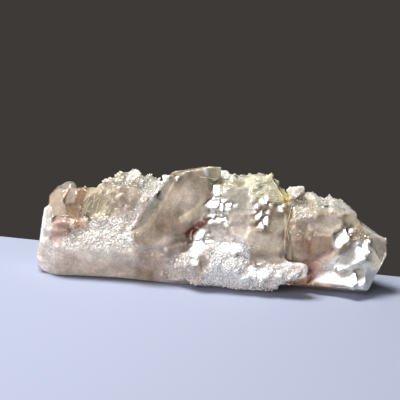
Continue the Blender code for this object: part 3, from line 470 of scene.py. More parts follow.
# A crystal face that is flatter and crisper than on the plain solid: its corners in space and
# how soft its border is.
Face = namedtuple("Face", "name edge corners")
FACES = [
    Face("rose crystal, front", 0.5,
         [(-60.2, -5.2, 27.6), (-58.9, -4.6, 29.2), (-56.7, -4.9, 30.2), (-54.4, -5.8, 30.6),
          (-55, -8.2, 27.1), (-54, -9.9, 25.6), (-53.4, -12.4, 22.9), (-53, -13.5, 21.7),
          (-55.9, -13.2, 20.3), (-58.1, -12.9, 19.3), (-59.6, -8.5, 23.8)]),
    Face("lilac head", 0.35,
         [(-53, -7, 31), (-50.4, -8.5, 31.6), (-49.8, -10.3, 30.1), (-50.3, -11.8, 28.2),
          (-51.7, -11.8, 27), (-53.8, -10.9, 26.1), (-53.6, -8.6, 28.8)]),
    Face("lilac head, dark side", 0.3,
         [(-55.3, -7.6, 26.7), (-53.3, -6.2, 30.7), (-53, -6.6, 30.9), (-53.6, -8.3, 28.7),
          (-53.8, -11.2, 26.2), (-54.6, -9.6, 26.3)]),
    Face("amber crystal, upper", 0.5,
         [(-50.4, -9, 31.7), (-47.9, -8.4, 32.1), (-45.7, -8.2, 31.9), (-45.2, -9, 30.6),
          (-46.1, -10, 29.2), (-47, -11.3, 27.6), (-47.6, -12.2, 26.2), (-50.4, -12.7, 26.1),
          (-51.3, -12.2, 27.1), (-50.3, -11.4, 28.1), (-49.8, -10, 30.1)]),
    Face("amber crystal, lower", 0.6,
         [(-53.7, -10.7, 25.8), (-51.4, -10.9, 26.4), (-47.6, -12, 26.2), (-47.8, -13.1, 24.2),
          (-48.2, -14.6, 21.2), (-51.5, -14, 20.8), (-53.1, -13.1, 21.6), (-53.5, -12, 23.5)]),
    Face("rutile shoulder", 0.9,
         [(-45.2, -9.5, 31.4), (-42.8, -8.5, 31.7), (-40.3, -7.6, 31.7), (-39.7, -8.3, 28.2),
          (-39.8, -9.4, 24.7), (-42.5, -10.7, 23.7), (-45.3, -11.9, 23.4), (-47.9, -13.7, 20.6),
          (-47.8, -12.7, 24.1), (-47, -11.3, 27.6), (-45.8, -10.3, 29.7)]),
    Face("smoky crystal", 0.5,
         [(-23.9, -16.9, 23.1), (-20.3, -15.3, 28.1), (-16.8, -13.2, 34.5), (-14.3, -11.9, 38.5),
          (-11.6, -10.7, 41.8), (-5.9, -10.2, 42.8), (-3.7, -10.3, 42.3), (-2, -11.2, 38.9),
          (-1.4, -12, 36.2), (-2.3, -13, 33), (-3.6, -13.6, 31.2), (-6.3, -14.4, 28.9),
          (-9.1, -15.1, 27), (-11.1, -16, 24.5), (-13, -17, 21.3), (-15, -17.5, 19.8),
          (-15.5, -18.4, 17), (-18.2, -19.3, 14.4), (-22.4, -19.8, 13.5), (-26.7, -20, 13.3),
          (-28.7, -19.3, 15.9), (-29, -18.2, 19.7), (-26.2, -17.9, 20.2)]),
    Face("smoky crystal, left bevel", 0.4,
         [(-16.9, -9.7, 38.3), (-14.3, -12.3, 39), (-16.8, -13.4, 34.6), (-20.3, -15.4, 28.1),
          (-23.9, -16.1, 22.9), (-26.3, -16.2, 19.8), (-28.9, -13.9, 18.7),
          (-27.1, -12.1, 22.8), (-23.1, -11.1, 28.9), (-19.8, -10.4, 33.8)]),
    Face("smoky crystal, pale side", 0.5,
         [(-3.3, -14.4, 32.1), (-2.7, -12.9, 28.9), (-3.6, -12.3, 25.7), (-6, -13, 23.4),
          (-8.7, -13.8, 20.8), (-10.8, -14.6, 19.4), (-13, -16.4, 20.8), (-11, -16.6, 24.7),
          (-9.1, -16.3, 27.3), (-6.3, -15.3, 29.1)]),
    Face("smoky companion", 0.6,
         [(-13.9, -18, 14.4), (-10.1, -16.8, 16.2), (-8.7, -16.3, 17), (-7.5, -16, 14.7),
          (-8.5, -16.3, 12.9), (-10.9, -17.1, 12.2), (-13.7, -18.1, 10.7), (-15, -18.5, 9.3),
          (-16.5, -19, 10), (-16, -18.7, 13)]),
    Face("wall, head", 0.6,
         [(5.5, -6, 41), (10, -1.3, 40.5), (11.6, -1.5, 39.1), (11.3, -5.1, 37.1),
          (9, -7.4, 37.5), (5.7, -10.4, 38.2)]),
    Face("wall, grey face", 0.6,
         [(3.9, -11.4, 36.8), (11.2, -11, 37.2), (12.8, -12.5, 34.3), (12.4, -15.3, 29),
          (11.2, -17.1, 25.6), (5.5, -17.8, 24.6), (4.6, -16.1, 27.9)]),
    Face("wall, peach face", 0.8,
         [(5.9, -16.9, 24.1), (11.6, -16.9, 25.2), (12.8, -15.5, 28.7), (14, -16.8, 25.8),
          (14.3, -18.5, 21.8), (12.3, -19.3, 19.6), (7.2, -18.5, 20.5)]),
    Face("wall, foot", 0.7,
         [(-1.6, -15, 23.8), (4.8, -16.1, 24.9), (5.8, -16.7, 20.7), (3.8, -16.7, 18),
          (-1.2, -15.7, 17.7), (-2.5, -15.1, 21.2)]),
    Face("grey lobe, upper", 0.6,
         [(20.2, -12.8, 32), (25.4, -11, 31.6), (26.7, -11.4, 28), (24.2, -12.7, 26.7),
          (19.8, -14.3, 27.1)]),
    Face("grey lobe, lower", 0.8,
         [(19.9, -13.7, 26.6), (24.3, -12.4, 26.6), (26.8, -11.2, 27.6), (26.3, -12.9, 23.1),
          (23.2, -14.6, 21.1), (19.8, -15.2, 22.4)]),
    Face("brown bulge", 0.9,
         [(13.4, -19.2, 23.7), (17.9, -17.3, 22.5), (23.2, -15.1, 20.8), (26.3, -13.6, 18.8),
          (23.5, -14.5, 17), (18.5, -16.2, 15.2), (14.4, -17.9, 15.7), (12.7, -19, 19.5)]),
    Face("brown bulge, foot", 0.9,
         [(14.9, -17.2, 14.8), (18.5, -16.4, 15.2), (23.9, -14.4, 17), (26.4, -13.3, 18.4),
          (26.6, -15.5, 13.7), (21.5, -16.8, 12.9), (15.7, -18, 12.8)]),
    Face("hill, left", 0.9,
         [(27.9, -3.4, 32.4), (32.8, -1.7, 33.5), (35, 0.9, 35), (37.6, 0.8, 35),
          (38.2, -5.6, 31.3), (37.3, -11.8, 27.8), (31.4, -13.6, 26.6), (28.2, -14.2, 26.2)]),
    Face("hill, middle", 0.9,
         [(37.7, 1.8, 34.8), (40, 1.9, 34.4), (43.4, 1.1, 33.3), (43, -6.3, 29.9),
          (41.7, -10.1, 28.4), (37.1, -13.1, 28), (38.2, -5.6, 31.3)]),
    Face("hill, right", 0.9,
         [(43.4, 0.9, 33.3), (47.1, 3.7, 32.2), (51.3, 6.2, 30.8), (53.2, 6.2, 29.8),
          (55.1, 4.7, 28.4), (54, 1.3, 27.9), (48.8, -4.4, 28.8), (42.6, -10.6, 30.1)]),
    Face("hill, olive foot", 0.6,
         [(46.3, -7.6, 28.6), (49.2, -4.9, 28.5), (54.1, -0.7, 28.2), (55.5, -1.5, 26.3),
          (55.2, -3.1, 25.2), (53.6, -5.8, 24.1), (50.3, -7.4, 25.4), (46.3, -9.9, 26.5)]),
    Face("hill, foot", 2,
         [(38.2, -9.9, 27.4), (42.9, -8.4, 29.6), (46.6, -8.7, 28.8), (46.3, -10.1, 26.5),
          (44.9, -11.6, 24.1), (38.3, -12, 23.8), (36.1, -11.2, 25.3)]),
    Face("hollow, right", 2,
         [(35.5, -12, 22.4), (38.3, -12.6, 23.5), (43.7, -13.9, 22.7), (44.6, -14.3, 16.9),
          (42.6, -13.9, 15.2), (39.2, -13.1, 13.6), (35.6, -12.2, 13.5), (34.6, -11.9, 16.4),
          (34.7, -11.9, 19.4)]),
    Face("hollow, left", 2,
         [(27.1, -12.5, 18.6), (32.1, -13.1, 19.5), (34.4, -13.3, 17.4), (35.1, -13.1, 13.7),
          (31.2, -12.7, 12.9), (26.9, -12.1, 12.8)]),
    Face("pink seam", 0.6,
         [(37.1, -9.9, 10.7), (40.8, -11.2, 13.2), (43.1, -11.9, 15.8), (43.8, -12.4, 14.9),
          (42.6, -12.1, 12.5), (41.1, -11.9, 9.3), (40, -11.8, 5.7), (36.6, -10.7, 2.9),
          (38, -10.7, 8)]),
    Face("end, dark face", 0.35,
         [(47.5, -16.2, 20.4), (49.9, -13.7, 21.1), (52.7, -9.9, 20.5), (52.7, -8.8, 18.4),
          (51.4, -9.5, 17), (48.9, -11.2, 14.4), (47.5, -12.8, 14.1), (45.6, -16.2, 16),
          (45.8, -17, 18.1), (46.8, -15.8, 18.2)]),
    Face("end, rusty face", 0.5,
         [(51.2, -7.8, 23.7), (53.1, -6, 24.9), (55.4, -5.1, 24.5), (57.4, -5.9, 22.2),
          (56.6, -7.1, 21.1), (53.5, -8.8, 20.7), (51.6, -9.5, 21.1)]),
    Face("end, upper right", 0.4,
         [(58.7, -6.1, 20.4), (62.3, -4.1, 20.2), (65.6, -3.1, 18.3), (65.6, -4, 16.6),
          (64.5, -6.1, 13.6), (63.4, -7.8, 11.7), (61.7, -7.6, 14), (59.6, -7.3, 17),
          (57.1, -7.8, 18.8)]),
    Face("end, lower right", 0.4,
         [(57, -8.9, 19.1), (59.5, -8.2, 17.2), (61.6, -8.2, 14.1), (63.3, -8.2, 11.8),
          (62.3, -9.6, 9.4), (59.5, -11, 9.6), (57.1, -11.8, 10.8), (57.4, -10.3, 14.6)]),
    Face("end, pink face", 0.4,
         [(57, -12.5, 10.6), (59.6, -10.2, 9.4), (63.1, -6.5, 8.6), (61.9, -9.2, 6.2),
          (60.7, -12, 3.5), (59, -14.6, 2.2), (55.6, -17.8, 3.7), (56.7, -14.9, 6.7)]),
    Face("end, grey band", 0.35,
         [(50.2, -16.3, 12.2), (52.4, -15.2, 13.2), (56.7, -12.7, 13.6), (59.2, -11, 13),
          (59.2, -10.1, 10.1), (53.3, -13.7, 9.9), (47.9, -16.9, 9.6), (46.6, -18, 10.6)]),
    Face("crack, upper", 0.5,
         [(25, -10.8, 32.2), (28.5, -7, 31.7), (29.3, -9.9, 26.4), (26.4, -13.6, 25.9)]),
    Face("crack, lower", 0.5,
         [(26.1, -12.9, 25.7), (29.1, -11.1, 25.9), (29.4, -12.5, 13.1), (26.4, -14.1, 13.3)]),
    Face("lobe, left face", 0.7,
         [(-3.8, -21.2, 14.5), (-0.7, -20.7, 16.4), (0.4, -21.9, 11.3), (-0.7, -23, 6.3),
          (-3.8, -23.5, 4.7), (-3.5, -22.3, 9.6)]),
    Face("wedge, upper", 0.7,
         [(-15.8, -14.7, 7.8), (-14.1, -15.2, 9.6), (-10.2, -17.4, 12.3), (-6.7, -19.9, 13.9),
          (-4.7, -22.9, 12.6), (-3.8, -25.6, 10.1), (-9.8, -20.8, 8), (-14.9, -16.6, 6.5)]),
    Face("wedge, lower", 0.7,
         [(-16.4, -14.8, 5.9), (-9.9, -19, 7.5), (-3.8, -23.1, 9.4), (-3.8, -21.5, 4.5),
          (-8.1, -18.5, 2.6), (-15.5, -14, 1.6)]),
]

# The outline whose faces are ground smooth, and the edge of the long prism that is worn round.
POLISHED = "smoky crystal"
ROUNDED = Outline("prism, rounded edge", "", 0, 0, 1.5,
                  [(-63, 2.5), (-63, 11.5), (-32, 12.5), (-29, 8.2), (-17, 8.2), (-17, 3.5),
                   (-29, 3)])

# Flat broken faces, each standing a little proud of the stone.
STEPS = {
    "grey wall": [
        [(-0.1, 34.6), (1.6, 34.7), (2.1, 31.3), (0, 31), (-0.4, 33.4)],
        [(-0.2, 30.5), (2, 30.8), (2.5, 30.3), (2.1, 29.8), (-0.9, 29.4)],
        [(-1.3, 29.1), (2.1, 29.5), (2.1, 27.5), (1, 26.5), (-1.2, 26.1), (-2.8, 27.5)],
        [(-1.1, 25), (0.6, 25.3), (1.2, 24), (0.4, 22.6), (-1, 23.1)],
        [(-1.2, 20.4), (-0.5, 22), (0.6, 22.4), (5, 23), (5.1, 21.8), (1.1, 20.9)],
        [(4.7, 21.8), (5.5, 22), (5.7, 19.7), (5.3, 19.7)],
        [(2.6, 30), (4.9, 29.8), (3.7, 28.4), (2.7, 29.1)],
        [(2.6, 28.4), (3.6, 28.2), (3.6, 25.5), (2.6, 25.4)],
        [(4.3, 28.2), (6.8, 28.6), (6.6, 27.4), (4.7, 27.1)],
        [(4.7, 26.9), (6.2, 26.7), (5.9, 25.9), (4.8, 26)],
        [(4.7, 21.8), (5.1, 21.6), (5.2, 19.7), (4.8, 20)],
        [(3, 24.7), (3.6, 24.9), (3.5, 23.8), (2.9, 23.7)],
        [(7.3, 27.9), (8.4, 28.1), (8.6, 27.6), (7.5, 27.4)],
    ],
    "smoky crystal": [
        [(-14.7, 36.8), (-14, 37.4), (-13.6, 37), (-14.2, 36.1)],
        [(-19.4, 37.3), (-17.2, 37.5), (-16.6, 36.8), (-17.4, 35.4), (-18.5, 35.2), (-19.1, 35.9)],
    ],
    "brown bulge": [
        [(15.7, 25), (17.4, 26.7), (18.2, 26.6), (18.3, 25.2), (17.3, 23.4), (16.4, 23.2),
         (15.8, 23.9)],
        [(19, 26), (20.4, 27.1), (20.9, 25.8), (20.1, 25.4)],
        [(14.9, 25.8), (15.6, 26.6), (16, 25.8), (15.3, 25.2)],
        [(18.1, 22.9), (19.8, 24.4), (20.5, 23.5), (20.4, 21.6), (19.3, 21.3)],
        [(17.1, 21.5), (18.2, 22), (19.1, 19.9), (18.5, 19.7)],
        [(18.1, 31.9), (19.6, 32.6), (20.1, 31.1), (19.5, 29.1), (18.6, 30.2)],
        [(16.8, 30.5), (17.8, 31.3), (18.5, 29.4), (17.6, 29.4)],
        [(15.4, 28.8), (16.1, 29.3), (16.6, 27.4), (15.7, 27.5)],
        [(20, 29.2), (20.9, 29.4), (21.4, 28.3)],
        [(23.8, 28.9), (24.9, 29.3), (25.6, 26.9), (24.5, 27.2)],
        [(25.4, 29.6), (26.3, 29.2), (25.8, 28.8)],
    ],
    "bluish strip": [
        [(-4.3, 17.3), (-2.7, 17.8), (-2.4, 16.8), (-3.4, 14.8), (-4.8, 13.6), (-5.9, 13.7),
         (-5.4, 16.2)],
        [(-6.1, 13.1), (-3.9, 13.4), (-3.2, 12.1), (-4.2, 10.1), (-6.1, 10.5)],
        [(-7, 10), (-4.4, 9.7), (-3.9, 8.2), (-4.9, 6.2), (-7.2, 7.6)],
        [(-1.7, 15.2), (-0.4, 15.2), (-0.4, 14.7), (-2, 14.2)],
        [(-2.2, 13.8), (-0.3, 14.1), (1.2, 13.8), (0.9, 13), (-1.7, 12.6)],
        [(-1.4, 16.1), (-0.9, 16.3), (-0.6, 15.5), (-1.4, 15.4)],
        [(-0.6, 12.3), (0.1, 12.6), (0, 11.8)],
    ],
    "front lobe": [
        [(3.7, 12.8), (5.7, 13.6), (7.3, 12.9), (7.3, 10.2), (4.9, 9.4), (4, 10.7)],
        [(7.6, 12.8), (9.4, 14.1), (11, 13.1), (10.8, 10.8), (9, 9.2), (7.6, 10.2)],
        [(14.6, 4.5), (15.7, 5.2), (17, 3.5), (17.8, 3.2), (18, 0.6), (15.6, 1.8)],
        [(18, 3.1), (19.3, 3.5), (20.7, 4.4), (22.7, 3.3), (22.1, 1.1), (20.3, 0), (18.2, 0.6)],
        [(25.2, 3.9), (26.8, 3.8), (27.1, 1.9), (26.2, 1.6)],
        [(27.7, 5.8), (29.5, 6.6), (29.7, 4.4), (28.6, 4.2)],
        [(-7.3, 5.8), (-4.7, 5.8), (-4.9, 4.3), (-6.2, 4.2)],
    ],
    "clear end": [
        [(46.4, 19.4), (48.4, 20.7), (49.8, 21.6), (51.2, 18), (50.9, 17.2), (49.3, 16.5),
         (48.2, 14.3), (47.4, 15), (46.7, 17.3)],
        [(50.7, 21.4), (51.4, 21.9), (52.2, 21.3), (51.9, 20.4), (51, 20.5)],
        [(52.9, 14.8), (55.4, 15.4), (57, 14.4), (58.1, 12.7), (57.9, 10.9), (56.3, 10),
         (53, 8.8), (50.9, 7.5), (49, 7.8), (48.3, 9.2), (49.9, 10.7), (51.2, 12.6)],
        [(56.1, 16), (57.9, 16.6), (58.2, 15.4), (59, 13.5), (58.5, 12.5), (57.4, 14.3)],
        [(56.7, 17.6), (58.5, 18.5), (59, 17.6), (57.9, 16.9)],
        [(48.1, 6.9), (49.4, 7.5), (52, 7.7), (51, 6.7), (48.5, 5.6), (48, 6.1)],
        [(42.7, 2.5), (44.4, 4.1), (47.3, 5.3), (51.1, 5.2), (54.9, 5.1), (55.5, 3.6),
         (56.2, 1.4), (54.3, -0.2), (51.2, 0.5), (45.9, 0.9), (42, 1.4)],
        [(55.3, 5.7), (58.1, 7.1), (58.6, 1.4), (57.1, 0.4), (56.1, 3.2)],
    ],
}

# Small angular crystals that stand on the cluster: the depth of the front face at its foot and
# its top, how thick each is, and its outline.
Block = namedtuple("Block", "name colour milk grain depths thickness corners")
BLOCKS = [
    Block("clear tablet", "b7ae98", 0.5, 0.02, (-9.4, -8.6), 3,
          [(-4.9, 39.5), (-3.4, 41.4), (-1.2, 41.7), (1.8, 41.8), (1.9, 40), (2, 37.4),
           (-1.1, 36.2), (-4.5, 36.7)]),
    Block("white nub", "fbf8f2", 1, 0.5, (-6.8, -4.6), 4,
          [(2.6, 37.6), (2.6, 39.7), (3.2, 40.8), (4.4, 40.9), (5.3, 39.9), (5.3, 37.8)]),
    Block("stub", "efe9dd", 1, 0.55, (-7, -5.5), 4,
          [(26.9, 35.2), (27.4, 36.1), (30, 36.4), (32.8, 36.4), (32.7, 35.4), (31.6, 33.6),
           (30.5, 32.4), (28.4, 33.2)]),
    Block("white lump", "d4ccc0", 1, 0.4, (-6.5, -2.5), 4,
          [(-32.6, 33.8), (-32.4, 36.8), (-31.3, 38.3), (-28.8, 38.6), (-27.6, 37.2),
           (-27.5, 34.1), (-29.9, 32.8)]),
    Block("yellow lump", "a8a391", 0.9, 0.35, (-4.4, -1.4), 4,
          [(-37, 32.7), (-37.1, 35.9), (-36.5, 37.2), (-35.4, 37.7), (-33.7, 37.3),
           (-33.4, 35.2), (-33.6, 32.9)]),
    Block("white shoulder", "e9e6dd", 1, 0.3, (-9, -6), 4,
          [(-19.6, 37.2), (-18.9, 37.7), (-17.2, 37.7), (-16.4, 36.8), (-17.4, 35),
           (-18.9, 34.8)]),
    Block("brown seam", "ab9c8b", 0.8, 0.1, (-13.6, -9.3), 3,
          [(26.1, 30), (28, 29.7), (28.9, 27.5), (29.9, 24.5), (30.3, 22.6), (30.5, 16.8),
           (30.9, 8.4), (26, 8.2), (26, 17.8), (26.4, 22.8), (26.4, 26.6)]),
    Block("front toe", "dfd6d1", 0.95, 0.5, (-22.2, -21.6), 4,
          [(28.1, 5.8), (30.6, 6.7), (34, 6.9), (36.6, 6.5), (37.1, 4.6), (36.9, 1.9),
           (34.5, 1.1), (30.8, 0.2), (28.1, 0.6)]),
]

# Long golden needles, each as the corners of its line.
NEEDLES = [
    [(-5.7, 37.6), (-1.6, 37.3), (1.8, 36.8), (6.2, 36.9)],
    [(4.3, 33.4), (6.4, 34.3), (9.6, 35.8)],
    [(17.6, 34.1), (20.5, 34.5), (23.1, 35.3), (25.6, 35.8)],
    [(13.1, 34), (16, 35.2), (17.8, 36.2)],
    [(2.5, 37.8), (0.5, 34.6)],
    [(-46, 27.5), (-48, 22.8)],
    [(-44.2, 28), (-45, 23)],
    [(-42.3, 27), (-43.8, 20)],
    [(-39.9, 24.1), (-41.8, 18.6)],
    [(-46.6, 23.6), (-48.5, 16.6)],
    [(-45.2, 26), (-49.4, 20.4)],
    [(-43.1, 21.6), (-45.4, 16.1)],
    [(-50.8, 18.7), (-54.3, 12.3)],
    [(27.6, 21.3), (29.2, 15.6)],
    [(27.9, 31.3), (27.8, 22.9)],
    [(25.9, 32.6), (28.7, 26)],
    [(29.1, 29.4), (27.4, 19)],
    [(20.1, 39.8), (25.1, 32.6)],
    [(15, 38.7), (20, 31.5)],
    [(24.1, 36.3), (17.7, 32.1)],
    [(19.3, 30.6), (25.3, 30.3)],
    [(15.9, 36.5), (22.4, 38.5)],
    [(21.7, 29.3), (25.7, 34.9)],
]


class QuartzSettings(bpy.types.PropertyGroup):
    """Sizes and colours of the quartz."""

    mesh_size: FloatProperty(
        name="Mesh", description="Size of the faces of the dressed body", default=0.51 * MM,
        unit="LENGTH",
    )
    grain_height: FloatProperty(
        name="Sugar height", description="Height of the sugary grains", default=0.8 * MM,
        unit="LENGTH",
    )
    glow_depth: FloatProperty(
        name="Glow depth", description="How far light spreads under milky faces", default=2 * MM,
        unit="LENGTH",
    )
    smoke: FloatVectorProperty(
        name="Smoke", description="Colour that the clear quartz turns light",
        default=srgb("d8cabd"), subtype="COLOR", size=3,
    )
    smoke_density: FloatProperty(
        name="Smoke density", description="How fast light fades in the clear quartz, per metre",
        default=60,
    )
    grains: IntProperty(
        name="Grains", description="How many loose-looking sugar grains", default=8200,
    )
    sparkles: IntProperty(
        name="Sparkles", description="How many grains flash the high light", default=1100,
    )
    druse: IntProperty(name="Druse", description="How many small pointed crystals", default=90)
    step_depth: FloatProperty(
        name="Step depth", description="How deep the broken faces are rooted", default=2.5 * MM,
        unit="LENGTH",
    )
    needle_radius: FloatProperty(
        name="Needle radius", description="Half the thickness of a rutile needle",
        default=0.09 * MM, unit="LENGTH",
    )
    needles: IntProperty(name="Needles", description="How many short needles", default=70)


class StageSettings(bpy.types.PropertyGroup):
    """Sizes and colours of the stage."""

    floor_colour: FloatVectorProperty(
        name="Floor", description="Colour of the floor", default=srgb("a2a9be"),
        subtype="COLOR", size=3,
    )
    dusk: FloatVectorProperty(
        name="Surroundings", description="Colour of the dim studio round the stage",
        default=srgb("3d3a37"), subtype="COLOR", size=3,
    )
    key: FloatProperty(name="High light", description="Power of the high light", default=5.4)
    fill: FloatProperty(name="Front light", description="Power of the front light", default=7.8)


def add_node(tree, kind, settings=None, links=None):
    """Adds a shader node, sets its properties and sockets, and links its inputs.

    A link from a node itself is from its first output.
    """
    node = tree.nodes.new("ShaderNode" + kind)
    for name, value in (settings or {}).items():
        if isinstance(name, str) and hasattr(node, name):
            setattr(node, name, value)
        else:
            node.inputs[name].default_value = value
    for socket, source in (links or {}).items():
        if isinstance(source, bpy.types.Node):
            source = source.outputs[0]
        tree.links.new(source, node.inputs[socket])
    return node


def stretch(low, high, to_low, to_high):
    """What turns the stretch from low to high into the one from to_low to to_high."""
    return {"From Min": low, "From Max": high, "To Min": to_low, "To Max": to_high}


def new_material(name):
    """An empty material and its tree."""
    material = bpy.data.materials.new(name)
    material.use_nodes = True
    material.node_tree.nodes.clear()
    return material, material.node_tree


def quartz_material(settings):
    """Quartz, grown and broken: glassy faces over milky clouds, with smoke in the clear parts.

    Light goes in through the polished faces and comes back out of the milk a few millimetres
    on, so the edges glow; the sugary parts are thousands of tiny faces that flash one by one.
    """
    material, tree = new_material(QUARTZ)
    place = add_node(tree, "TexCoord").outputs["Object"]
    own = {name: add_node(tree, "Attribute", {"attribute_name": name}).outputs
           for name in ("zone_colour", "milk", "grain", "iron")}
    milk, grain = own["milk"]["Fac"], own["grain"]["Fac"]

    # Milky clouds 9 mm and 3 mm across, and a faint mottle under a millimetre.
    shades = []
    for size, detail, swing in ((110, 5, 0.17), (340, 4, 0.15), (1500, 2, 0.08)):
        cloud = add_node(tree, "TexNoise",
                         {"Scale": size, "Detail": detail, "Distortion": 0.8},
                         {"Vector": place})
        shades.append(add_node(tree, "MapRange",
                               stretch(0.3, 0.7, 1 - swing, 1 + swing), {"Value": cloud}))
    # Soft smoke streaks that run up the leaning crystal, where the milk is thin.
    along = add_node(tree, "Mapping",
                     {"Rotation": (0.0, math.radians(-34), 0.0), "Scale": (1.0, 1.0, 0.18)},
                     {"Vector": place})
    streak = add_node(tree, "TexNoise", {"Scale": 330, "Detail": 3}, {"Vector": along})
    streak_shade = add_node(tree, "MapRange", stretch(0.3, 0.7, -1.0, 1.0), {"Value": streak})
    streak_swing = add_node(tree, "MapRange", stretch(0.45, 0.75, 0.34, 0.0), {"Value": milk})
    shades.append(add_node(tree, "Math", {"operation": "MULTIPLY_ADD", 2: 1.0},
                           {0: streak_shade, 1: streak_swing}))
    tone = shades[0]
    for shade in shades[1:]:
        tone = add_node(tree, "Math", {"operation": "MULTIPLY"}, {0: tone, 1: shade})

    # Icy veins: healed cracks a fifth of a millimetre wide, in a net 3 mm across.
    crack = add_node(tree, "TexNoise",
                     {"Scale": 330, "Detail": 4, "Distortion": 1.6}, {"Vector": place})
    off_middle = add_node(tree, "Math", {"operation": "SUBTRACT", 1: 0.5}, {0: crack})
    off_middle = add_node(tree, "Math", {"operation": "ABSOLUTE"}, {0: off_middle})
    vein = add_node(tree, "MapRange", stretch(0.0, 0.035, 0.30, 0.0), {"Value": off_middle})
    veined = add_node(tree, "Math", {"operation": "ADD"}, {0: tone, 1: vein})
    toned = add_node(tree, "VectorMath", {"operation": "SCALE"},
                     {0: own["zone_colour"]["Color"], "Scale": veined})

    # Sugary crystals, half a millimetre across, each its own shade.
    cell = add_node(tree, "TexVoronoi", {"Scale": 1900}, {"Vector": place})
    parts = add_node(tree, "SeparateColor", None, {"Color": cell.outputs["Color"]})
    cell_tone = add_node(tree, "MapRange", stretch(0.0, 1.0, 0.66, 1.34),
                         {"Value": parts.outputs["Red"]})
    sugar_tone = add_node(tree, "Mix", {"data_type": "FLOAT", 2: 1.0}, {0: grain, 3: cell_tone})
    sugared = add_node(tree, "VectorMath", {"operation": "SCALE"}, {0: toned, "Scale": sugar_tone})

    # White flecks, partly white grains of the stone and partly painted sparkle: most in the sugar,
    # a few everywhere.
    fleck = add_node(tree, "TexVoronoi", {"Scale": 820}, {"Vector": place})
    fleck_parts = add_node(tree, "SeparateColor", None, {"Color": fleck.outputs["Color"]})
    fleck_near = add_node(tree, "MapRange", stretch(0.10, 0.40, 1.0, 0.0),
                          {"Value": fleck.outputs["Distance"]})
    fleck_pick = add_node(tree, "MapRange", stretch(0.72, 0.80, 0.0, 1.0),
                          {"Value": fleck_parts.outputs["Blue"]})
    fleck_share = add_node(tree, "MapRange", stretch(0.0, 1.0, 0.12, 0.75), {"Value": grain})
    fleck_and_sparkle_amount = fleck_near
    for share in (fleck_pick, fleck_share):
        fleck_and_sparkle_amount = add_node(tree, "Math", {"operation": "MULTIPLY"},
                                {0: fleck_and_sparkle_amount, 1: share})
    flecked_and_sparkled = add_node(tree, "Mix", {"data_type": "RGBA", 7: (*srgb("faf6f2"), 1)},
                       {0: fleck_and_sparkle_amount, 6: sugared}).outputs[2]

    # Iron stain in blotches and specks.
    rust = add_node(tree, "TexNoise",
                    {"Scale": 480, "Detail": 5, "Roughness": 0.6}, {"Vector": place})
    rust_mask = add_node(tree, "MapRange", stretch(0.42, 0.62, 0.25, 1.0), {"Value": rust})
    rusted = add_node(tree, "Math", {"operation": "MULTIPLY", "use_clamp": True},
                      {0: own["iron"]["Fac"], 1: rust_mask})
    stained = add_node(tree, "Mix", {"data_type": "RGBA", 7: (*srgb("a8654c"), 1)},
                       {0: rusted, 6: flecked_and_sparkled}).outputs[2]

    # Each sugary crystal looks its own way; broken faces are 3 mm chips that differ a little.
    chip = add_node(tree, "TexVoronoi", {"Scale": 330}, {"Vector": place})
    facing = add_node(tree, "NewGeometry").outputs["Normal"]
    for source, low, high in ((cell, 0.03, 0.9), (chip, 0.04, 0.35)):
        lean = add_node(tree, "VectorMath", {"operation": "SUBTRACT", 1: (0.5,) * 3},
                        {0: source.outputs["Color"]})
        swing = add_node(tree, "MapRange", stretch(0.0, 1.0, low, high), {"Value": grain})
        turn = add_node(tree, "VectorMath", {"operation": "SCALE"}, {0: lean, "Scale": swing})
        facing = add_node(tree, "VectorMath", {"operation": "ADD"}, {0: facing, 1: turn})
    facing = add_node(tree, "VectorMath", {"operation": "NORMALIZE"}, {0: facing})

    # Polished faces are smoother than sugar, and thin milk lets light through.
    polish = add_node(tree, "MapRange", stretch(0.0, 1.0, 0.10, 0.28), {"Value": grain})
    clearness = add_node(tree, "MapRange", stretch(0.3, 0.9, 0.40, 0.0), {"Value": milk})
    shader = add_node(tree, "BsdfPrincipled",
                      {"IOR": QUARTZ_IOR, "Subsurface Weight": 1.0,
                       "Subsurface Radius": (1.0, 0.9, 0.82),
                       "Subsurface Scale": settings.glow_depth},
                      {"Base Color": stained, "Normal": facing, "Roughness": polish,
                       "Transmission Weight": clearness})
    smoke = add_node(tree, "VolumeAbsorption",
                     {"Color": (*settings.smoke, 1), "Density": settings.smoke_density})
    add_node(tree, "OutputMaterial", None, {"Surface": shader, "Volume": smoke})
    return material


def sugar_material():
    """Loose-looking sugar of quartz: small white chips, bright where a face meets the light."""
    material, tree = new_material("white quartz sugar, fresh broken")
    colour = add_node(tree, "Attribute", {"attribute_name": "zone_colour"})
    shader = add_node(tree, "BsdfPrincipled", {"IOR": QUARTZ_IOR, "Roughness": 0.12},
                      {"Base Color": colour.outputs["Color"]})
    add_node(tree, "OutputMaterial", None, {"Surface": shader})
    return material


def step_material():
    """Fresh parting of quartz: white partly from fine cracks just below a face as bright as glass
    and partly as a painted highlight.
    """
    material, tree = new_material("milky quartz, fresh flat parting, painted flash")
    place = add_node(tree, "TexCoord").outputs["Object"]
    colour = add_node(tree, "Attribute", {"attribute_name": "zone_colour"})
    # Fine cracks, a millimetre apart: darker and rougher where they open.
    crack = add_node(tree, "TexNoise",
                     {"Scale": 900, "Detail": 4, "Distortion": 1.5}, {"Vector": place})
    tone = add_node(tree, "MapRange", stretch(0.36, 0.60, 0.62, 1.0), {"Value": crack})
    toned = add_node(tree, "VectorMath", {"operation": "SCALE"},
                     {0: colour.outputs["Color"], "Scale": tone})
    polish = add_node(tree, "MapRange", stretch(0.3, 0.6, 0.34, 0.1), {"Value": crack})
    shader = add_node(tree, "BsdfPrincipled", {"IOR": QUARTZ_IOR},
                      {"Base Color": toned, "Roughness": polish})
    add_node(tree, "OutputMaterial", None, {"Surface": shader})
    return material


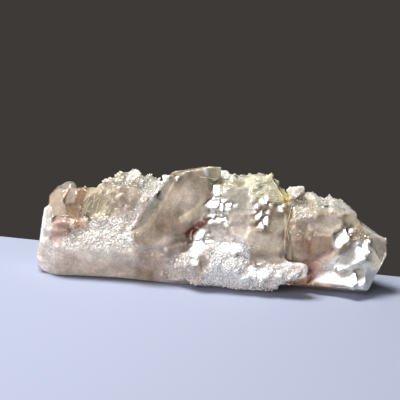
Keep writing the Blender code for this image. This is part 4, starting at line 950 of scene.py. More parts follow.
def rutile_material():
    """Rutile: straight golden needles with a bright metallic lustre."""
    material, tree = new_material("golden rutile needles")
    shader = add_node(tree, "BsdfPrincipled",
                      {"Base Color": (*srgb("efe7c0"), 1), "IOR": 2.0, "Roughness": 0.3,
                       "Metallic": 0.15})
    add_node(tree, "OutputMaterial", None, {"Surface": shader})
    return material


def front_view(points):
    """Where each point shows on the upright plane through the cluster."""
    share = EYE.y / (EYE.y - points[:, 1])
    return np.column_stack([EYE.x + (points[:, 0] - EYE.x) * share,
                            EYE.z + (points[:, 2] - EYE.z) * share])


def outline_share(spots, outline, wider=0.0):
    """How far inside the outline, made wider, each spot lies: 0 to 1 across its soft edge."""
    corners = np.array(outline.corners, float)
    distance = np.full(len(spots), 1e9)
    inside = np.zeros(len(spots), bool)
    for start, end in zip(corners, np.roll(corners, -1, axis=0)):
        along = end - start
        share = np.clip((spots - start) @ along / (along @ along), 0, 1)
        gap = np.linalg.norm(spots - start - share[:, None] * along, axis=1)
        distance = np.minimum(distance, gap)
        crosses = (start[1] > spots[:, 1]) != (end[1] > spots[:, 1])
        rise = along[1] if along[1] else 1e-9
        where = start[0] + (spots[:, 1] - start[1]) * along[0] / rise
        inside ^= crosses & (spots[:, 0] < where)
    signed = np.where(inside, distance, -distance)
    return np.clip(0.5 + (signed + wider) / (2 * outline.edge), 0, 1)


def look_rows(colour, milk, grain, count):
    """The same colour, milkiness and sugariness for each of so many points."""
    return np.tile(np.array([*srgb(colour), milk, grain]), (count, 1))


def zone_values(points, facing):
    """Colour, milkiness and sugariness at each point, from the zones and outlines round it."""
    faint = 1e-4
    total = np.full(len(points), faint)     # so that a point far from every zone is plain
    values = look_rows(*PLAIN_LOOK, len(points)) * faint
    for zone in ZONES:
        start, end = np.array(zone.start, float), np.array(zone.end, float)
        along = end - start
        share = np.clip((points - start) @ along / (along @ along), 0, 1)
        distance = np.linalg.norm(points - start - share[:, None] * along, axis=1)
        weight = np.exp(-4 * (distance / zone.reach) ** 4)
        total += weight
        values += weight[:, None] * look_rows(zone.colour, zone.milk, zone.grain, 1)
    values /= total[:, None]
    # The outlines colour what looks to the show side or up, and fade out towards the middle.
    spots = front_view(points)
    shown = np.clip(0.7 - 4 * facing[:, 1] + 1.5 * facing[:, 2], 0, 1)
    shown *= np.clip((4 - points[:, 1]) / 4, 0, 1)
    for outline in OUTLINES:
        corners = np.array(outline.corners, float)
        near = np.all((spots > corners.min(axis=0) - outline.edge)
                      & (spots < corners.max(axis=0) + outline.edge), axis=1)
        weight = outline_share(spots[near], outline) * shown[near]
        look = look_rows(outline.colour, outline.milk, outline.grain, 1)
        values[near] += weight[:, None] * (look - values[near])
    return values


def stain_values(points, stains):
    """How strongly each point is stained."""
    strength = np.zeros(len(points))
    for stain in stains:
        offset = (points - np.array(stain.centre)) / np.array(stain.reach)
        near = np.exp(-2 * (offset ** 2).sum(axis=1))
        strength = np.maximum(strength, stain.strength * near)
    return strength


def read_vectors(items, name, count=3):
    """One row for each item: its place, its normal or its corners."""
    kind = np.int32 if name == "vertices" else np.float32
    values = np.empty(len(items) * count, dtype=kind)
    items.foreach_get(name, values)
    return values.reshape(-1, count)


def mesh_points(mesh):
    """The mesh's points as rows of millimetres."""
    return read_vectors(mesh.vertices, "co").astype(float) / MM


def write_attribute(mesh, name, kind, values):
    """Stores one value for each point of the mesh."""
    layer = mesh.attributes.new(name, kind, "POINT")
    field = "color" if kind == "FLOAT_COLOR" else "value"
    layer.data.foreach_set(field, np.ascontiguousarray(values, dtype=np.float32).ravel())


def write_looks(mesh, values, iron=None):
    """Stores colour, milkiness, sugariness and stain, none unless given, on the mesh."""
    write_attribute(mesh, "zone_colour", "FLOAT_COLOR",
                    np.column_stack([values[:, :3], np.ones(len(values))]))
    write_attribute(mesh, "milk", "FLOAT", values[:, 3])
    write_attribute(mesh, "grain", "FLOAT", values[:, 4])
    write_attribute(mesh, "iron", "FLOAT", np.zeros(len(values)) if iron is None else iron)


def set_points(mesh, points):
    """Moves the mesh's points to the rows of millimetres."""
    mesh.vertices.foreach_set("co", (points * MM).astype(np.float32).ravel())
    mesh.update()


def select_only(piece):
    """Makes the piece the one selected and active object."""
    bpy.ops.object.select_all(action="DESELECT")
    piece.select_set(True)
    bpy.context.view_layer.objects.active = piece


def add_piece(context, name, points, faces):
    """A new mesh object from points in metres and faces."""
    mesh = bpy.data.meshes.new(name)
    mesh.from_pydata(points, [], faces)
    mesh.update()
    piece = bpy.data.objects.new(name, mesh)
    context.scene.collection.objects.link(piece)
    return piece


def body_surface(context, name="quartz_body"):
    """The surface of the dressed body or another piece, ready for rays, in metres."""
    piece = bpy.data.objects[name]
    return BVHTree.FromObject(piece, context.evaluated_depsgraph_get())


def cast(surface, across, up):
    """Where the line from the show side through (across, up) meets the stone, and its normal."""
    way = (Vector((across, 0, up)) - EYE).normalized()
    place, normal = surface.ray_cast(EYE * MM, way)[:2]
    return (place / MM, normal) if place else (None, None)


def cast_first(surfaces, across, up):
    """The nearest place to the show side that the line meets on any of the surfaces."""
    hits = [cast(surface, across, up) for surface in surfaces]
    hits = [hit for hit in hits if hit[0] is not None]
    return min(hits, key=lambda hit: hit[0].y) if hits else (None, None)


# The plane of each broken step: found when the stone is cut, used when the step is laid.
STEP_PLANES = {}
STEP_PROBES = (0.4, 0.9)    # where a step is measured, from its middle 0 to its corners 1
STEP_LEVEL = 0.3            # how high it lies, from the middle height 0 to the highest 1


def flash_way(place):
    """How a face at the place looks when it flashes the high light to the show side."""
    return ((LAMP - place).normalized() + (EYE - place).normalized()).normalized()


def step_plane(surface, corners, off_flash=4):
    """The plane of a broken step: a place on it and the way it looks, or None off the stone.

    It lies a little above the middle height of the stone under it, and looks that many
    degrees off the flash at most, towards the stone's own face.
    """
    middle = np.array(corners).mean(axis=0)
    spots = [middle + (np.array(corner) - middle) * share
             for corner in corners for share in STEP_PROBES]
    hits = [hit for hit in (cast(surface, *spot) for spot in spots) if hit[0] is not None]
    place = cast(surface, *middle)[0]
    if place is None or len(hits) < 3:
        return None
    way = flash_way(place)
    normal = sum((hit[1] for hit in hits), Vector()).normalized()
    apart = way.angle(normal)
    if apart > 0.01:
        way = way.slerp(normal, min(1, math.radians(off_flash) / apart))
    heights = [(hit[0] - place).dot(way) for hit in hits]
    middle_height = sum(heights) / len(heights)
    level = middle_height + STEP_LEVEL * (max(heights) - middle_height)
    return place + way * level, way


def remesh(piece, size):
    """Gives the active piece even faces of about the size."""
    even = piece.modifiers.new("even_mesh", "REMESH")
    even.mode = "VOXEL"
    even.voxel_size = size
    bpy.ops.object.modifier_apply(modifier="even_mesh")


def thicken(piece, thickness):
    """Gives the active piece's flat faces a thickness behind them."""
    body = piece.modifiers.new("body", "SOLIDIFY")
    body.thickness = thickness
    body.offset = -1
    bpy.ops.object.modifier_apply(modifier="body")


def raise_waves(piece, name, kind, size, height, group=""):
    """Moves the active piece's surface in and out in waves of the size in millimetres."""
    texture = bpy.data.textures.new(name, kind)
    texture.noise_scale = size * MM
    wave = piece.modifiers.new(name, "DISPLACE")
    wave.texture = texture
    wave.texture_coords = "LOCAL"
    wave.vertex_group = group
    wave.mid_level = 0.5
    wave.strength = height
    bpy.ops.object.modifier_apply(modifier=name)


class QUARTZ_OT_body(bpy.types.Operator):
    """Dress the solid of the cluster as quartz"""

    bl_idname = "quartz.body"
    bl_label = "Quartz Body"

    WELD = 0.002            # corners of the solid closer than this are one
    FARTHEST_FLATTENED = 5  # a face moves no point farther than this
    FARTHEST_BROKEN = 6.5   # and a step no farther than this
    STEP_MARGIN = 0.8       # how far round a step the stone follows it
    STEP_EDGE = 0.35        # how soft the margin ends
    STEP_PROUD = 0.12       # how far a step stands out of the stone
    STEP_FRONT = -4         # stone farther back than this follows no step
    EDGE_FRONT = -8         # and farther back than this the long prism's edge stays crisp
    FREE_ABOVE = 0.6        # the stone is uneven only above this height
    REST_BELOW = 0.25       # and what is lower than this rests on the floor
    BOX_ROOM = 0.2          # how far the stone may pass the solid's box
    # How the surface is softened: a group of points and how many times it is smoothed.
    SOFTENING = (("soft", 4), ("polish", 30), ("rounded", 60))
    # How it is raised: a texture, the points it raises, its size and its share of the height.
    WAVES = (("swell", "CLOUDS", "growth", 6.0, 0.9), ("lumps", "VORONOI", "sugar", 3.4, 0.6),
             ("grains", "VORONOI", "sugar", 1.3, 0.75))

    def execute(self, context):
        settings = context.scene.quartz
        node = frame["nodes"][NODE]
        piece = node.copy()
        piece.data = node.data.copy()
        piece.name = "quartz_body"
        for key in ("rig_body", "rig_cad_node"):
            del piece[key]
        piece.parent = None
        context.scene.collection.objects.link(piece)
        select_only(piece)
        bpy.ops.object.mode_set(mode="EDIT")
        bpy.ops.mesh.select_all(action="SELECT")
        bpy.ops.mesh.remove_doubles(threshold=self.WELD * MM)
        bpy.ops.object.mode_set(mode="OBJECT")
        remesh(piece, settings.mesh_size)
        self.push(piece)
        flat = self.flatten(piece)
        self.roughen(piece, settings, flat)
        self.break_steps(context, piece)
        self.settle(piece)
        points = mesh_points(piece.data)
        facing = read_vectors(piece.data.vertices, "normal")
        write_looks(piece.data, zone_values(points, facing), stain_values(points, RED_STAINS))
        piece.data.materials.clear()
        piece.data.materials.append(quartz_material(settings))
        bpy.ops.object.shade_smooth_by_angle(angle=CRISP)
        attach(piece, "root")
        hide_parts(NODE)
        return {"FINISHED"}

    def push(self, piece):
        """Moves the surface where the growth differs from the plain solid."""
        points = mesh_points(piece.data)
        for push in PUSHES:
            offset = (points - np.array(push.place)) / np.array(push.reach)
            near = np.exp(-1.5 * (offset ** 2).sum(axis=1))
            if push.place[2] > 0:
                near[points[:, 2] < 0.4] = 0
            points += near[:, None] * np.array(push.move)
        set_points(piece.data, points)

    def flatten(self, piece):
        """Brings the show side inside each listed face to the face's plane.

        Returns how flat each point of the surface now is, from 0 to 1.
        """
        points = mesh_points(piece.data)
        facing = read_vectors(piece.data.vertices, "normal")
        eye = np.array(EYE)
        spots = front_view(points)
        rays = points - eye
        seen = -(facing * rays).sum(axis=1) / np.linalg.norm(rays, axis=1)
        seen = np.clip(5 * seen, 0, 1)
        flat = np.zeros(len(points))
        for face in FACES:
            corners = np.array(face.corners, float)
            middle = corners.mean(axis=0)
            way = np.linalg.svd(corners - middle)[2][2]
            drawn = Outline(face.name, "", 0, 0, face.edge, front_view(corners))
            share = outline_share(spots, drawn) * seen
            rays = points - eye
            moved = rays * (((middle - eye) @ way) / (rays @ way) - 1)[:, None]
            reach = np.linalg.norm(moved * share[:, None], axis=1)
            share *= reach < self.FARTHEST_FLATTENED
            points += moved * share[:, None]
            flat = np.maximum(flat, share)
        set_points(piece.data, points)
        return flat

    def break_steps(self, context, piece):
        """Cuts and raises the stone to just below each broken step."""
        surface = body_surface(context)
        points = mesh_points(piece.data)
        spots = front_view(points)
        eye = np.array(EYE)
        STEP_PLANES.clear()
        for group, steps in STEPS.items():
            for number, corners in enumerate(steps):
                off_flash = 0 if group == "clear end" else 4 + number % 3
                plane = step_plane(surface, corners, off_flash)
                if plane is None:
                    continue
                STEP_PLANES[group, number] = plane
                place, way = np.array(plane[0]), np.array(plane[1])
                drawn = Outline("step", "", 0, 0, self.STEP_EDGE, corners)
                share = outline_share(spots, drawn, self.STEP_MARGIN)
                share *= points[:, 1] < self.STEP_FRONT
                for index in np.nonzero(share > 0.02)[0]:
                    ray = points[index] - eye
                    reach = ((place - self.STEP_PROUD * way - eye) @ way) / (ray @ way)
                    moved = ray * (reach - 1)
                    if np.linalg.norm(moved) < self.FARTHEST_BROKEN:
                        points[index] += moved * share[index]
        set_points(piece.data, points)

    def roughen(self, piece, settings, flat):
        """Softens the edges, then raises uneven growth and sugary grains."""
        points = mesh_points(piece.data)
        facing = read_vectors(piece.data.vertices, "normal")
        grain = zone_values(points, facing)[:, 4]
        free = points[:, 2] > self.FREE_ABOVE
        spots = front_view(points)
        drawn = [outline for outline in OUTLINES if outline.name == POLISHED][0]
        polish = outline_share(spots, drawn)
        rounded = outline_share(spots, ROUNDED)
        shares = {
            "soft": np.where(free, 0.5 - 0.3 * flat, 0.0),
            "growth": np.where(free, (0.15 + grain) * (1 - 0.8 * flat), 0.0),
            "polish": np.where(free & (facing[:, 1] < 0.2), polish, 0.0),
            "rounded": np.where(free & (points[:, 1] < self.EDGE_FRONT), rounded, 0.0),
            "sugar": np.where(free & (grain > 0.03), grain, 0.0),
        }
        for name, share in shares.items():
            group = piece.vertex_groups.new(name=name)
            steps = np.round(np.clip(share, 0, 1) * 20).astype(int)
            for step in range(1, 21):
                chosen = np.nonzero(steps == step)[0].tolist()
                if chosen:
                    group.add(chosen, step / 20, "REPLACE")
        for group, times in self.SOFTENING:
            soften = piece.modifiers.new("soften", "SMOOTH")
            soften.factor = 0.5
            soften.iterations = times
            soften.vertex_group = group
            bpy.ops.object.modifier_apply(modifier="soften")
        for name, kind, group, size, height in self.WAVES:
            raise_waves(piece, name, kind, size, settings.grain_height * height, group)

    def settle(self, piece):
        """Keeps the resting face flat and the surface inside the box of the solid."""
        points = read_vectors(piece.data.vertices, "co")
        points = np.clip(points, np.array(CAD_BOX[0]) - self.BOX_ROOM * MM,
                         np.array(CAD_BOX[1]) + self.BOX_ROOM * MM)
        points[points[:, 2] < self.REST_BELOW * MM, 2] = 0
        piece.data.vertices.foreach_set("co", points.astype(np.float32).ravel())
        piece.data.update()


def surface_spots(piece, count, dice, share_of):
    """Random places on the piece, more of them where the share is high: place and normal."""
    mesh = piece.data
    mesh.calc_loop_triangles()
    corners = read_vectors(mesh.loop_triangles, "vertices")
    points = mesh_points(mesh)
    triangles = points[corners]
    grain = np.empty(len(points), dtype=np.float32)
    mesh.attributes["grain"].data.foreach_get("value", grain)
    cross = np.cross(triangles[:, 1] - triangles[:, 0], triangles[:, 2] - triangles[:, 0])
    area = np.linalg.norm(cross, axis=1)
    normals = cross / np.maximum(area, 1e-9)[:, None]
    middles = triangles.mean(axis=1)
    share = area * share_of(middles, normals, grain[corners].mean(axis=1))
    chosen = dice.choice(len(share), size=count, p=share / share.sum())
    mix = dice.dirichlet((1, 1, 1), size=count)
    places = (triangles[chosen] * mix[:, :, None]).sum(axis=1)
    return places, normals[chosen]


def frames_for(ups, dice):
    """A turn for each up direction, with a random spin round it."""
    spin = dice.normal(size=ups.shape)
    side = np.cross(ups, spin)
    side /= np.linalg.norm(side, axis=1)[:, None]
    return np.stack([side, np.cross(ups, side), ups], axis=2)


def scatter(context, name, model, places, turns, sizes):
    """One joined mesh of copies of the model: a place, a turn and three sizes for each."""
    shape = read_vectors(model.data.vertices, "co").astype(float)
    faces = [list(face.vertices) for face in model.data.polygons]
    copies = np.einsum("nij,nvj->nvi", turns, shape[None] * sizes[:, None, :])
    copies += places[:, None, :]
    joined = [[corner + copy * len(shape) for corner in face]
              for copy in range(len(places)) for face in faces]
    points = copies.reshape(-1, 3) * MM
    points[:, 2] = np.maximum(points[:, 2], 0.05 * MM)
    points = np.clip(points, np.array(CAD_BOX[0]) - ROOM, np.array(CAD_BOX[1]) + ROOM)
    bpy.data.objects.remove(model)
    return add_piece(context, name, points.tolist(), joined)


def cut_flat(way, distance):
    """Cuts the model in edit mode by a plane at the distance, and closes the cut."""
    bpy.ops.mesh.select_all(action="SELECT")
    way = Vector(way).normalized()
    bpy.ops.mesh.bisect(plane_co=way * distance, plane_no=way, use_fill=True, clear_outer=True)


class QUARTZ_OT_sugar(bpy.types.Operator):
    """Strew small broken grains where the stone is sugary"""

    bl_idname = "quartz.sugar"
    bl_label = "Quartz Sugar"

    # The planes that cut each kind of grain from a round one: the way and the distance.
    CUTS = (
        (((1, 0.2, 0.5), 0.25), ((-0.4, 1, 0.3), 0.3)),
        (((0.1, -0.9, 0.6), 0.2), ((0.8, 0.5, -0.3), 0.32), ((0, 0.3, 1), 0.3)),
        (((0, 0, 1), 0.12), ((0.9, 0.3, 0.2), 0.3), ((-0.7, -0.6, 0.3), 0.35)),
    )
    FLASHING = 2             # the kind whose flat top is turned to flash the high light
    OFF_FLASH = 0.05         # how unevenly those tops are turned
    BARE = 0.35              # stone less sugary than this has no grains
    SIZES = (0.32, 0.95)     # the least and the most that a grain's size is drawn as,
    SMALLER = 1.3            # and the power it is raised to, so that most are small
    STRETCHES = (0.6, 1.25)  # how much a grain is pressed or drawn out each way
    PROUD = 0.12             # how far out a grain's middle is, as a share of its size
    WHITE = "f8f4f0"
    WHITENESS = (0.4, 1.0)   # how far a grain's colour goes to white
    SHADES = (0.7, 1.0)      # and how dark it is then made

    def execute(self, context):
        settings = context.scene.quartz
        dice = np.random.default_rng(11)
        body = bpy.data.objects["quartz_body"]

        # Most grains lie where the stone is most sugary, and none at the resting face.
        def share_of(middles, normals, grain):
            return np.where(middles[:, 2] > 1.0, np.clip(grain - self.BARE, 0, 1) ** 1.4, 0)

        def shown_share(middles, normals, grain):
            return share_of(middles, normals, grain) * (normals[:, 1] < 0.1)

        sugar = sugar_material()
        for number, cuts in enumerate(self.CUTS):
            flash = number == self.FLASHING
            bpy.ops.object.select_all(action="DESELECT")
            bpy.ops.mesh.primitive_ico_sphere_add(subdivisions=1, radius=0.5)
            model = context.object
            bpy.ops.object.mode_set(mode="EDIT")
            for way, distance in cuts:
                cut_flat(way, distance)
            bpy.ops.object.mode_set(mode="OBJECT")
            count = settings.sparkles if flash else settings.grains // 2
            places, normals = surface_spots(body, count, dice,
                                            shown_share if flash else share_of)
            size = dice.uniform(*self.SIZES, count) ** self.SMALLER
            ups = dice.normal(size=(count, 3))
            if flash:
                flashing = np.array([flash_way(Vector(place)) for place in places])
                ups = self.OFF_FLASH * ups + flashing
            ups /= np.linalg.norm(ups, axis=1)[:, None]
            sizes = size[:, None] * dice.uniform(*self.STRETCHES, (count, 3))
            piece = scatter(context, f"quartz_sugar_{number + 1}", model,
                            places + normals * size[:, None] * self.PROUD,
                            frames_for(ups, dice), sizes)
            per_copy = len(piece.data.vertices) // count
            looks = zone_values(places, normals)
            lift = dice.uniform(*self.WHITENESS, count)[:, None]
            looks[:, :3] += lift * (np.array(srgb(self.WHITE)) - looks[:, :3])
            looks[:, :3] *= dice.uniform(*self.SHADES, count)[:, None]
            write_looks(piece.data, np.repeat(looks, per_copy, axis=0))
            piece.data.materials.append(sugar)
            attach(piece, "root")
        return {"FINISHED"}


class QUARTZ_OT_druse(bpy.types.Operator):
    """Grow small pointed crystals on the hills"""

    bl_idname = "quartz.druse"
    bl_label = "Quartz Druse"

    # One small crystal, a millimetre wide: a six-sided shaft, sunk in the stone, and its point.
    SHAFT = (-0.3, 0.625)   # from and to which height
    TIP = 0.55              # how high the point is above the shaft
    BARE = 0.35             # stone less sugary than this has no crystals
    LEAN = 0.55             # how unevenly they lean
    RISE = 0.3              # how much more they grow upwards
    WIDTHS = (0.5, 1.15)
    FLATNESS = (0.7, 1.1)   # the depth, as a share of the width
    HEIGHTS = (0.9, 1.5)    # the height, as a share of the width
    WHITE = "f6f0e8"
    WHITENESS = 0.3         # how far their colour goes to white

    def execute(self, context):
        settings = context.scene.quartz
        dice = np.random.default_rng(5)
        body = bpy.data.objects["quartz_body"]

        # They grow on top of the sugary hills at the left, and lower down at the back.
        def share_of(middles, normals, grain):
            high = np.clip((middles[:, 2] - 24) / 8, 0, 1)
            back = np.clip((middles[:, 1] - 8) / 10, 0, 0.5) * (middles[:, 2] < 31)
            left = np.clip(-middles[:, 0] / 6, 0, 1)
            upward = np.clip(normals[:, 2] + 0.6, 0, 1)
            return np.clip(grain - self.BARE, 0, 1) * (high * left + back) * upward

        bpy.ops.object.select_all(action="DESELECT")
        low, high = self.SHAFT
        bpy.ops.mesh.primitive_cone_add(
            vertices=6, radius1=0.5, radius2=0, depth=self.TIP, end_fill_type="NOTHING",
            location=(0, 0, high + self.TIP / 2))
        tip = context.object
        bpy.ops.mesh.primitive_cylinder_add(
            vertices=6, radius=0.5, depth=high - low, end_fill_type="NOTHING",
            location=(0, 0, (low + high) / 2))
        model = context.object
        tip.select_set(True)
        bpy.ops.object.join()
        bpy.ops.object.transform_apply(location=True, rotation=False, scale=False)
        bpy.ops.object.mode_set(mode="EDIT")
        bpy.ops.mesh.select_all(action="SELECT")
        bpy.ops.mesh.remove_doubles(threshold=0.001)
        bpy.ops.mesh.select_all(action="SELECT")
        bpy.ops.mesh.normals_make_consistent(inside=False)
        bpy.ops.object.mode_set(mode="OBJECT")
        count = settings.druse
        places, normals = surface_spots(body, count, dice, share_of)
        ups = normals + dice.normal(size=(count, 3)) * self.LEAN + np.array((0, 0, self.RISE))
        ups /= np.linalg.norm(ups, axis=1)[:, None]
        across = dice.uniform(*self.WIDTHS, count)
        sizes = np.column_stack([across, across * dice.uniform(*self.FLATNESS, count),
                                 across * dice.uniform(*self.HEIGHTS, count)])
        piece = scatter(context, "quartz_druse", model, places, frames_for(ups, dice), sizes)
        per_copy = len(piece.data.vertices) // count
        looks = zone_values(places, normals)
        looks[:, :3] += self.WHITENESS * (np.array(srgb(self.WHITE)) - looks[:, :3])
        looks[:, 4] = 0.0
        write_looks(piece.data, np.repeat(looks, per_copy, axis=0))
        piece.data.materials.append(sugar_material())
        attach(piece, "root")
        return {"FINISHED"}


class QUARTZ_OT_blocks(bpy.types.Operator):
    """Set small angular crystals on the cluster"""

    bl_idname = "quartz.blocks"
    bl_label = "Quartz Blocks"

    WORN_EDGE = 0.12    # how wide the worn edges of a block are
    SUGARY = 0.15       # a block more sugary than this is a lump of small crystals
    LUMP_FACES = 0.35   # the size of the faces of such a lump
    LUMPS = ((2.6, 1.3), (1.2, 0.8))    # the size and height of the crystals in it

    def execute(self, context):
        pieces = []
        for block in BLOCKS:
            ups = [corner[1] for corner in block.corners]
            points = []
            for across, up in block.corners:
                share = (up - min(ups)) / (max(ups) - min(ups))
                depth = block.depths[0] + share * (block.depths[1] - block.depths[0])
                ray = Vector((across, 0, up)) - EYE
                points.append(tuple((EYE + ray * ((depth - EYE.y) / ray.y)) * MM))
            piece = add_piece(context, block.name, points, [list(range(len(points)))])
            select_only(piece)
            if piece.data.polygons[0].normal.y > 0:
                piece.data.flip_normals()
            thicken(piece, block.thickness * MM)
            edges = piece.modifiers.new("edges", "BEVEL")
            edges.width = self.WORN_EDGE * MM
            edges.segments = 1
            bpy.ops.object.modifier_apply(modifier="edges")
            if block.grain > self.SUGARY:
                self.crumble(piece, block.grain)
            write_looks(piece.data, look_rows(block.colour, block.milk, block.grain,
                                              len(piece.data.vertices)))
            piece.data.materials.append(bpy.data.materials[QUARTZ])
            bpy.ops.object.shade_smooth_by_angle(angle=CRISP)
            pieces.append(piece)
        select_only(pieces[0])
        for piece in pieces:
            piece.select_set(True)
        bpy.ops.object.join()
        pieces[0].name = "quartz_blocks"
        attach(pieces[0], "root")
        return {"FINISHED"}

    def crumble(self, piece, grain):
        """Roughens a block into a lump of small crystals."""
        remesh(piece, self.LUMP_FACES * MM)
        for size, height in self.LUMPS:
            raise_waves(piece, "crumble", "VORONOI", size, height * (0.4 + 0.6 * grain) * MM)


class QUARTZ_OT_steps(bpy.types.Operator):
    """Break flat steps into the show side"""

    bl_idname = "quartz.steps"
    bl_label = "Quartz Steps"

    # The steps' near-white is partly the white of fresh parting and partly a painted highlight.
    PARTING_AND_FLASH_LOOK = ("e2dedb", 1, 0)     # colour, milk and grain

    def execute(self, context):
        settings = context.scene.quartz
        parting = step_material()
        for group, steps in STEPS.items():
            points, faces = [], []
            for number, corners in enumerate(steps):
                if (group, number) in STEP_PLANES:
                    top = self.step_top(corners, *STEP_PLANES[group, number])
                    faces.append(list(range(len(points), len(points) + len(top))))
                    points.extend(top)
            piece = add_piece(context, "quartz_steps_" + group.replace(" ", "_"), points, faces)
            select_only(piece)
            facing = read_vectors(piece.data.polygons, "normal")
            if facing[:, 2].mean() < 0:
                piece.data.flip_normals()
            thicken(piece, settings.step_depth)
            write_looks(piece.data, look_rows(*self.PARTING_AND_FLASH_LOOK, len(piece.data.vertices)))
            piece.data.materials.append(parting)
            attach(piece, "root")
        return {"FINISHED"}

    def step_top(self, corners, place, way):
        """The corners of the flat top of one step, in metres."""
        top = []
        for across, up in corners:
            ray = (Vector((across, 0, up)) - EYE).normalized()
            top.append(tuple((EYE + ray * ((place - EYE).dot(way) / ray.dot(way))) * MM))
        return top


class QUARTZ_OT_needles(bpy.types.Operator):
    """Lay rutile needles over the crest and through the amber end"""

    bl_idname = "quartz.needles"
    bl_label = "Rutile Needles"

    # Where short needles lie thick: from and to across, from and to up, and the ways they run.
    THICKETS = (((12, 26, 30, 37), (0.3, 2.6, 1.2)), ((-49, -38, 20, 31), (1.1, 1.0, 2.4)))
    LENGTHS = (1.2, 4.5)
    STOUT, SLIM = 1.25, 0.9     # how thick the listed and the short needles are
    SUNK = 0.7                  # how far out a needle's middle is, as a share of its radius
    STRIDE = 0.7                # how far apart its points are
    JUMP = 2.5                  # a point farther than this from the last one is left out

    def execute(self, context):
        settings = context.scene.quartz
        surfaces = [body_surface(context), body_surface(context, "quartz_blocks")]
        dice = random.Random(3)
        lines = [[Vector(corner) for corner in line] for line in NEEDLES]
        listed = len(lines)
        for spread, angles in self.THICKETS:
            for _ in range(settings.needles // 2):
                start = Vector((dice.uniform(*spread[:2]), dice.uniform(*spread[2:])))
                angle = dice.choice(angles) + dice.gauss(0, 0.25)
                length = dice.uniform(*self.LENGTHS)
                lines.append([start, start + Vector((math.cos(angle), math.sin(angle))) * length])
        curve = bpy.data.curves.new("rutile_needles", "CURVE")
        curve.dimensions = "3D"
        curve.bevel_depth = settings.needle_radius
        curve.bevel_resolution = 0
        curve.use_fill_caps = True
        for number, line in enumerate(lines):
            girth = self.STOUT if number < listed else self.SLIM
            self.lay(curve, surfaces, line, settings.needle_radius, girth)
        piece = bpy.data.objects.new("rutile_needles", curve)
        context.scene.collection.objects.link(piece)
        select_only(piece)
        bpy.ops.object.convert(target="MESH")
        piece.data.materials.append(rutile_material())
        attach(piece, "root")
        return {"FINISHED"}

    def lay(self, curve, surfaces, line, radius, girth):
        """One needle along the line, just sunk into the surface."""
        places = []
        for start, end in zip(line, line[1:]):
            steps = max(2, int((end - start).length / self.STRIDE))
            for step in range(steps + 1):
                spot = start + (end - start) * (step / steps)
                place, normal = cast_first(surfaces, *spot)
                if place is None or places and (place - places[-1]).length >= self.JUMP:
                    continue
                places.append(place + normal * radius / MM * self.SUNK)
        if len(places) < 3:
            return
        spline = curve.splines.new("POLY")
        spline.points.add(len(places) - 1)
        for point, place in zip(spline.points, places):
            point.co = (*(place * MM), 1)
            point.radius = girth


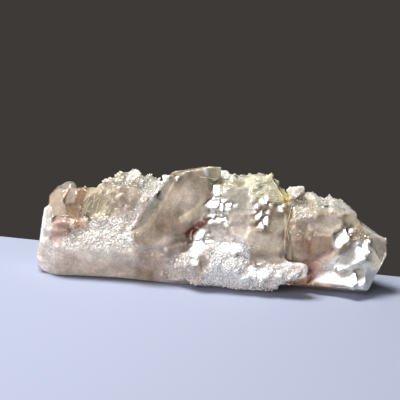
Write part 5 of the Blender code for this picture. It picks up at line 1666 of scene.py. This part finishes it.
class QUARTZ_OT_stage(bpy.types.Operator):
    """Set a plain floor, soft lights and the camera"""

    bl_idname = "quartz.stage"
    bl_label = "Studio Stage"

    FLOOR = (0.72, 0.52, 0.02)      # how wide, deep and thick it is
    FLOOR_BACK = 0.030              # how far behind the middle of the cluster the floor ends
    FLOOR_TURN = math.radians(-7)
    FLOOR_EDGE = 3 * MM
    LAMP_SIZE, FILL_SIZE = 0.27, 0.7    # the sides of the square lights
    FILL_LAMP = Vector((-0.46, -0.79, 0.15))
    FILL_TINT = (1.0, 0.965, 0.92)
    TARGET = Vector((-5.1, 0, 28.9)) * MM   # where the camera looks
    ELEVATION, LEAN = math.radians(12), math.radians(4)
    DISTANCE = 0.45
    FOCAL, SENSOR = 109, 36         # of the camera, in millimetres
    NEAREST = 0.01                  # what is nearer than this isn't shown

    def execute(self, context):
        settings = context.scene.quartz_stage
        bpy.ops.object.select_all(action="DESELECT")
        middle = (0, self.FLOOR_BACK - self.FLOOR[1] / 2, -self.FLOOR[2] / 2)
        bpy.ops.mesh.primitive_cube_add(size=1, location=middle)
        floor = context.object
        floor.name = "studio_floor"
        floor.scale = self.FLOOR
        bpy.ops.object.transform_apply(location=True, rotation=True, scale=True)
        floor.rotation_euler[2] = self.FLOOR_TURN
        bpy.ops.object.transform_apply(location=False, rotation=True, scale=False)
        soft_edge = floor.modifiers.new("soft_edge", "BEVEL")
        soft_edge.width = self.FLOOR_EDGE
        soft_edge.segments = 3
        bpy.ops.object.modifier_apply(modifier="soft_edge")
        paint = bpy.data.materials.new("matt painted board")
        paint.use_nodes = True
        shader = paint.node_tree.nodes["Principled BSDF"]
        shader.inputs["Base Color"].default_value = (*settings.floor_colour, 1)
        shader.inputs["Roughness"].default_value = 0.8
        floor.data.materials.append(paint)
        self.light(context, "high_light", LAMP * MM, self.LAMP_SIZE, settings.key, (1, 1, 1))
        self.light(context, "front_light", self.FILL_LAMP, self.FILL_SIZE, settings.fill,
                   self.FILL_TINT)
        world = bpy.data.worlds.new("dim_studio")
        context.scene.world = world
        world.use_nodes = True
        world.node_tree.nodes["Background"].inputs["Color"].default_value = (*settings.dusk, 1)
        context.scene.view_settings.view_transform = "Standard"
        self.camera(context)
        return {"FINISHED"}

    def light(self, context, name, place, size, power, colour):
        """A square soft light that looks at the middle of the cluster."""
        lamp = bpy.data.lights.new(name, "AREA")
        lamp.size = size
        lamp.energy = power
        lamp.color = colour
        holder = bpy.data.objects.new(name, lamp)
        holder.location = place
        holder.rotation_euler = (-place).to_track_quat("-Z", "Y").to_euler()
        context.scene.collection.objects.link(holder)

    def camera(self, context):
        """A long lens, 12 degrees above the floor, leaning 4 degrees."""
        back = Vector((0, -math.cos(self.ELEVATION), math.sin(self.ELEVATION)))
        lens = bpy.data.cameras.new("camera")
        lens.lens = self.FOCAL
        lens.sensor_width = self.SENSOR
        lens.clip_start = self.NEAREST
        holder = bpy.data.objects.new("camera", lens)
        turn = (-back).to_track_quat("-Z", "Y").to_matrix() @ Matrix.Rotation(self.LEAN, 3, "Z")
        place = self.TARGET + back * self.DISTANCE
        holder.matrix_world = Matrix.Translation(place) @ turn.to_4x4()
        context.scene.collection.objects.link(holder)
        context.scene.camera = holder


class QUARTZ_PT_panel(bpy.types.Panel):
    """The steps that dress the cluster, and their settings"""

    bl_label = "Smoky Quartz Cluster"
    bl_space_type = "VIEW_3D"
    bl_region_type = "UI"
    bl_category = "Quartz"

    def draw(self, context):
        layout = self.layout
        for step in ("stage", "body", "blocks", "steps", "sugar", "druse", "needles"):
            layout.operator("quartz." + step)
        for settings in (context.scene.quartz, context.scene.quartz_stage):
            box = layout.box()
            for name in type(settings).__annotations__:
                box.prop(settings, name)


CLASSES = (
    QuartzSettings,
    StageSettings,
    QUARTZ_OT_stage,
    QUARTZ_OT_body,
    QUARTZ_OT_blocks,
    QUARTZ_OT_steps,
    QUARTZ_OT_sugar,
    QUARTZ_OT_druse,
    QUARTZ_OT_needles,
    QUARTZ_PT_panel,
)


def register():
    for each in CLASSES:
        bpy.utils.register_class(each)
    bpy.types.Scene.quartz = PointerProperty(type=QuartzSettings)
    bpy.types.Scene.quartz_stage = PointerProperty(type=StageSettings)


def unregister():
    del bpy.types.Scene.quartz
    del bpy.types.Scene.quartz_stage
    for each in reversed(CLASSES):
        bpy.utils.unregister_class(each)


def main():
    register()
    bpy.ops.quartz.stage()
    bpy.ops.quartz.body()
    bpy.ops.quartz.blocks()
    bpy.ops.quartz.steps()
    bpy.ops.quartz.sugar()
    bpy.ops.quartz.druse()
    bpy.ops.quartz.needles()


if __name__ == "__main__":
    main()
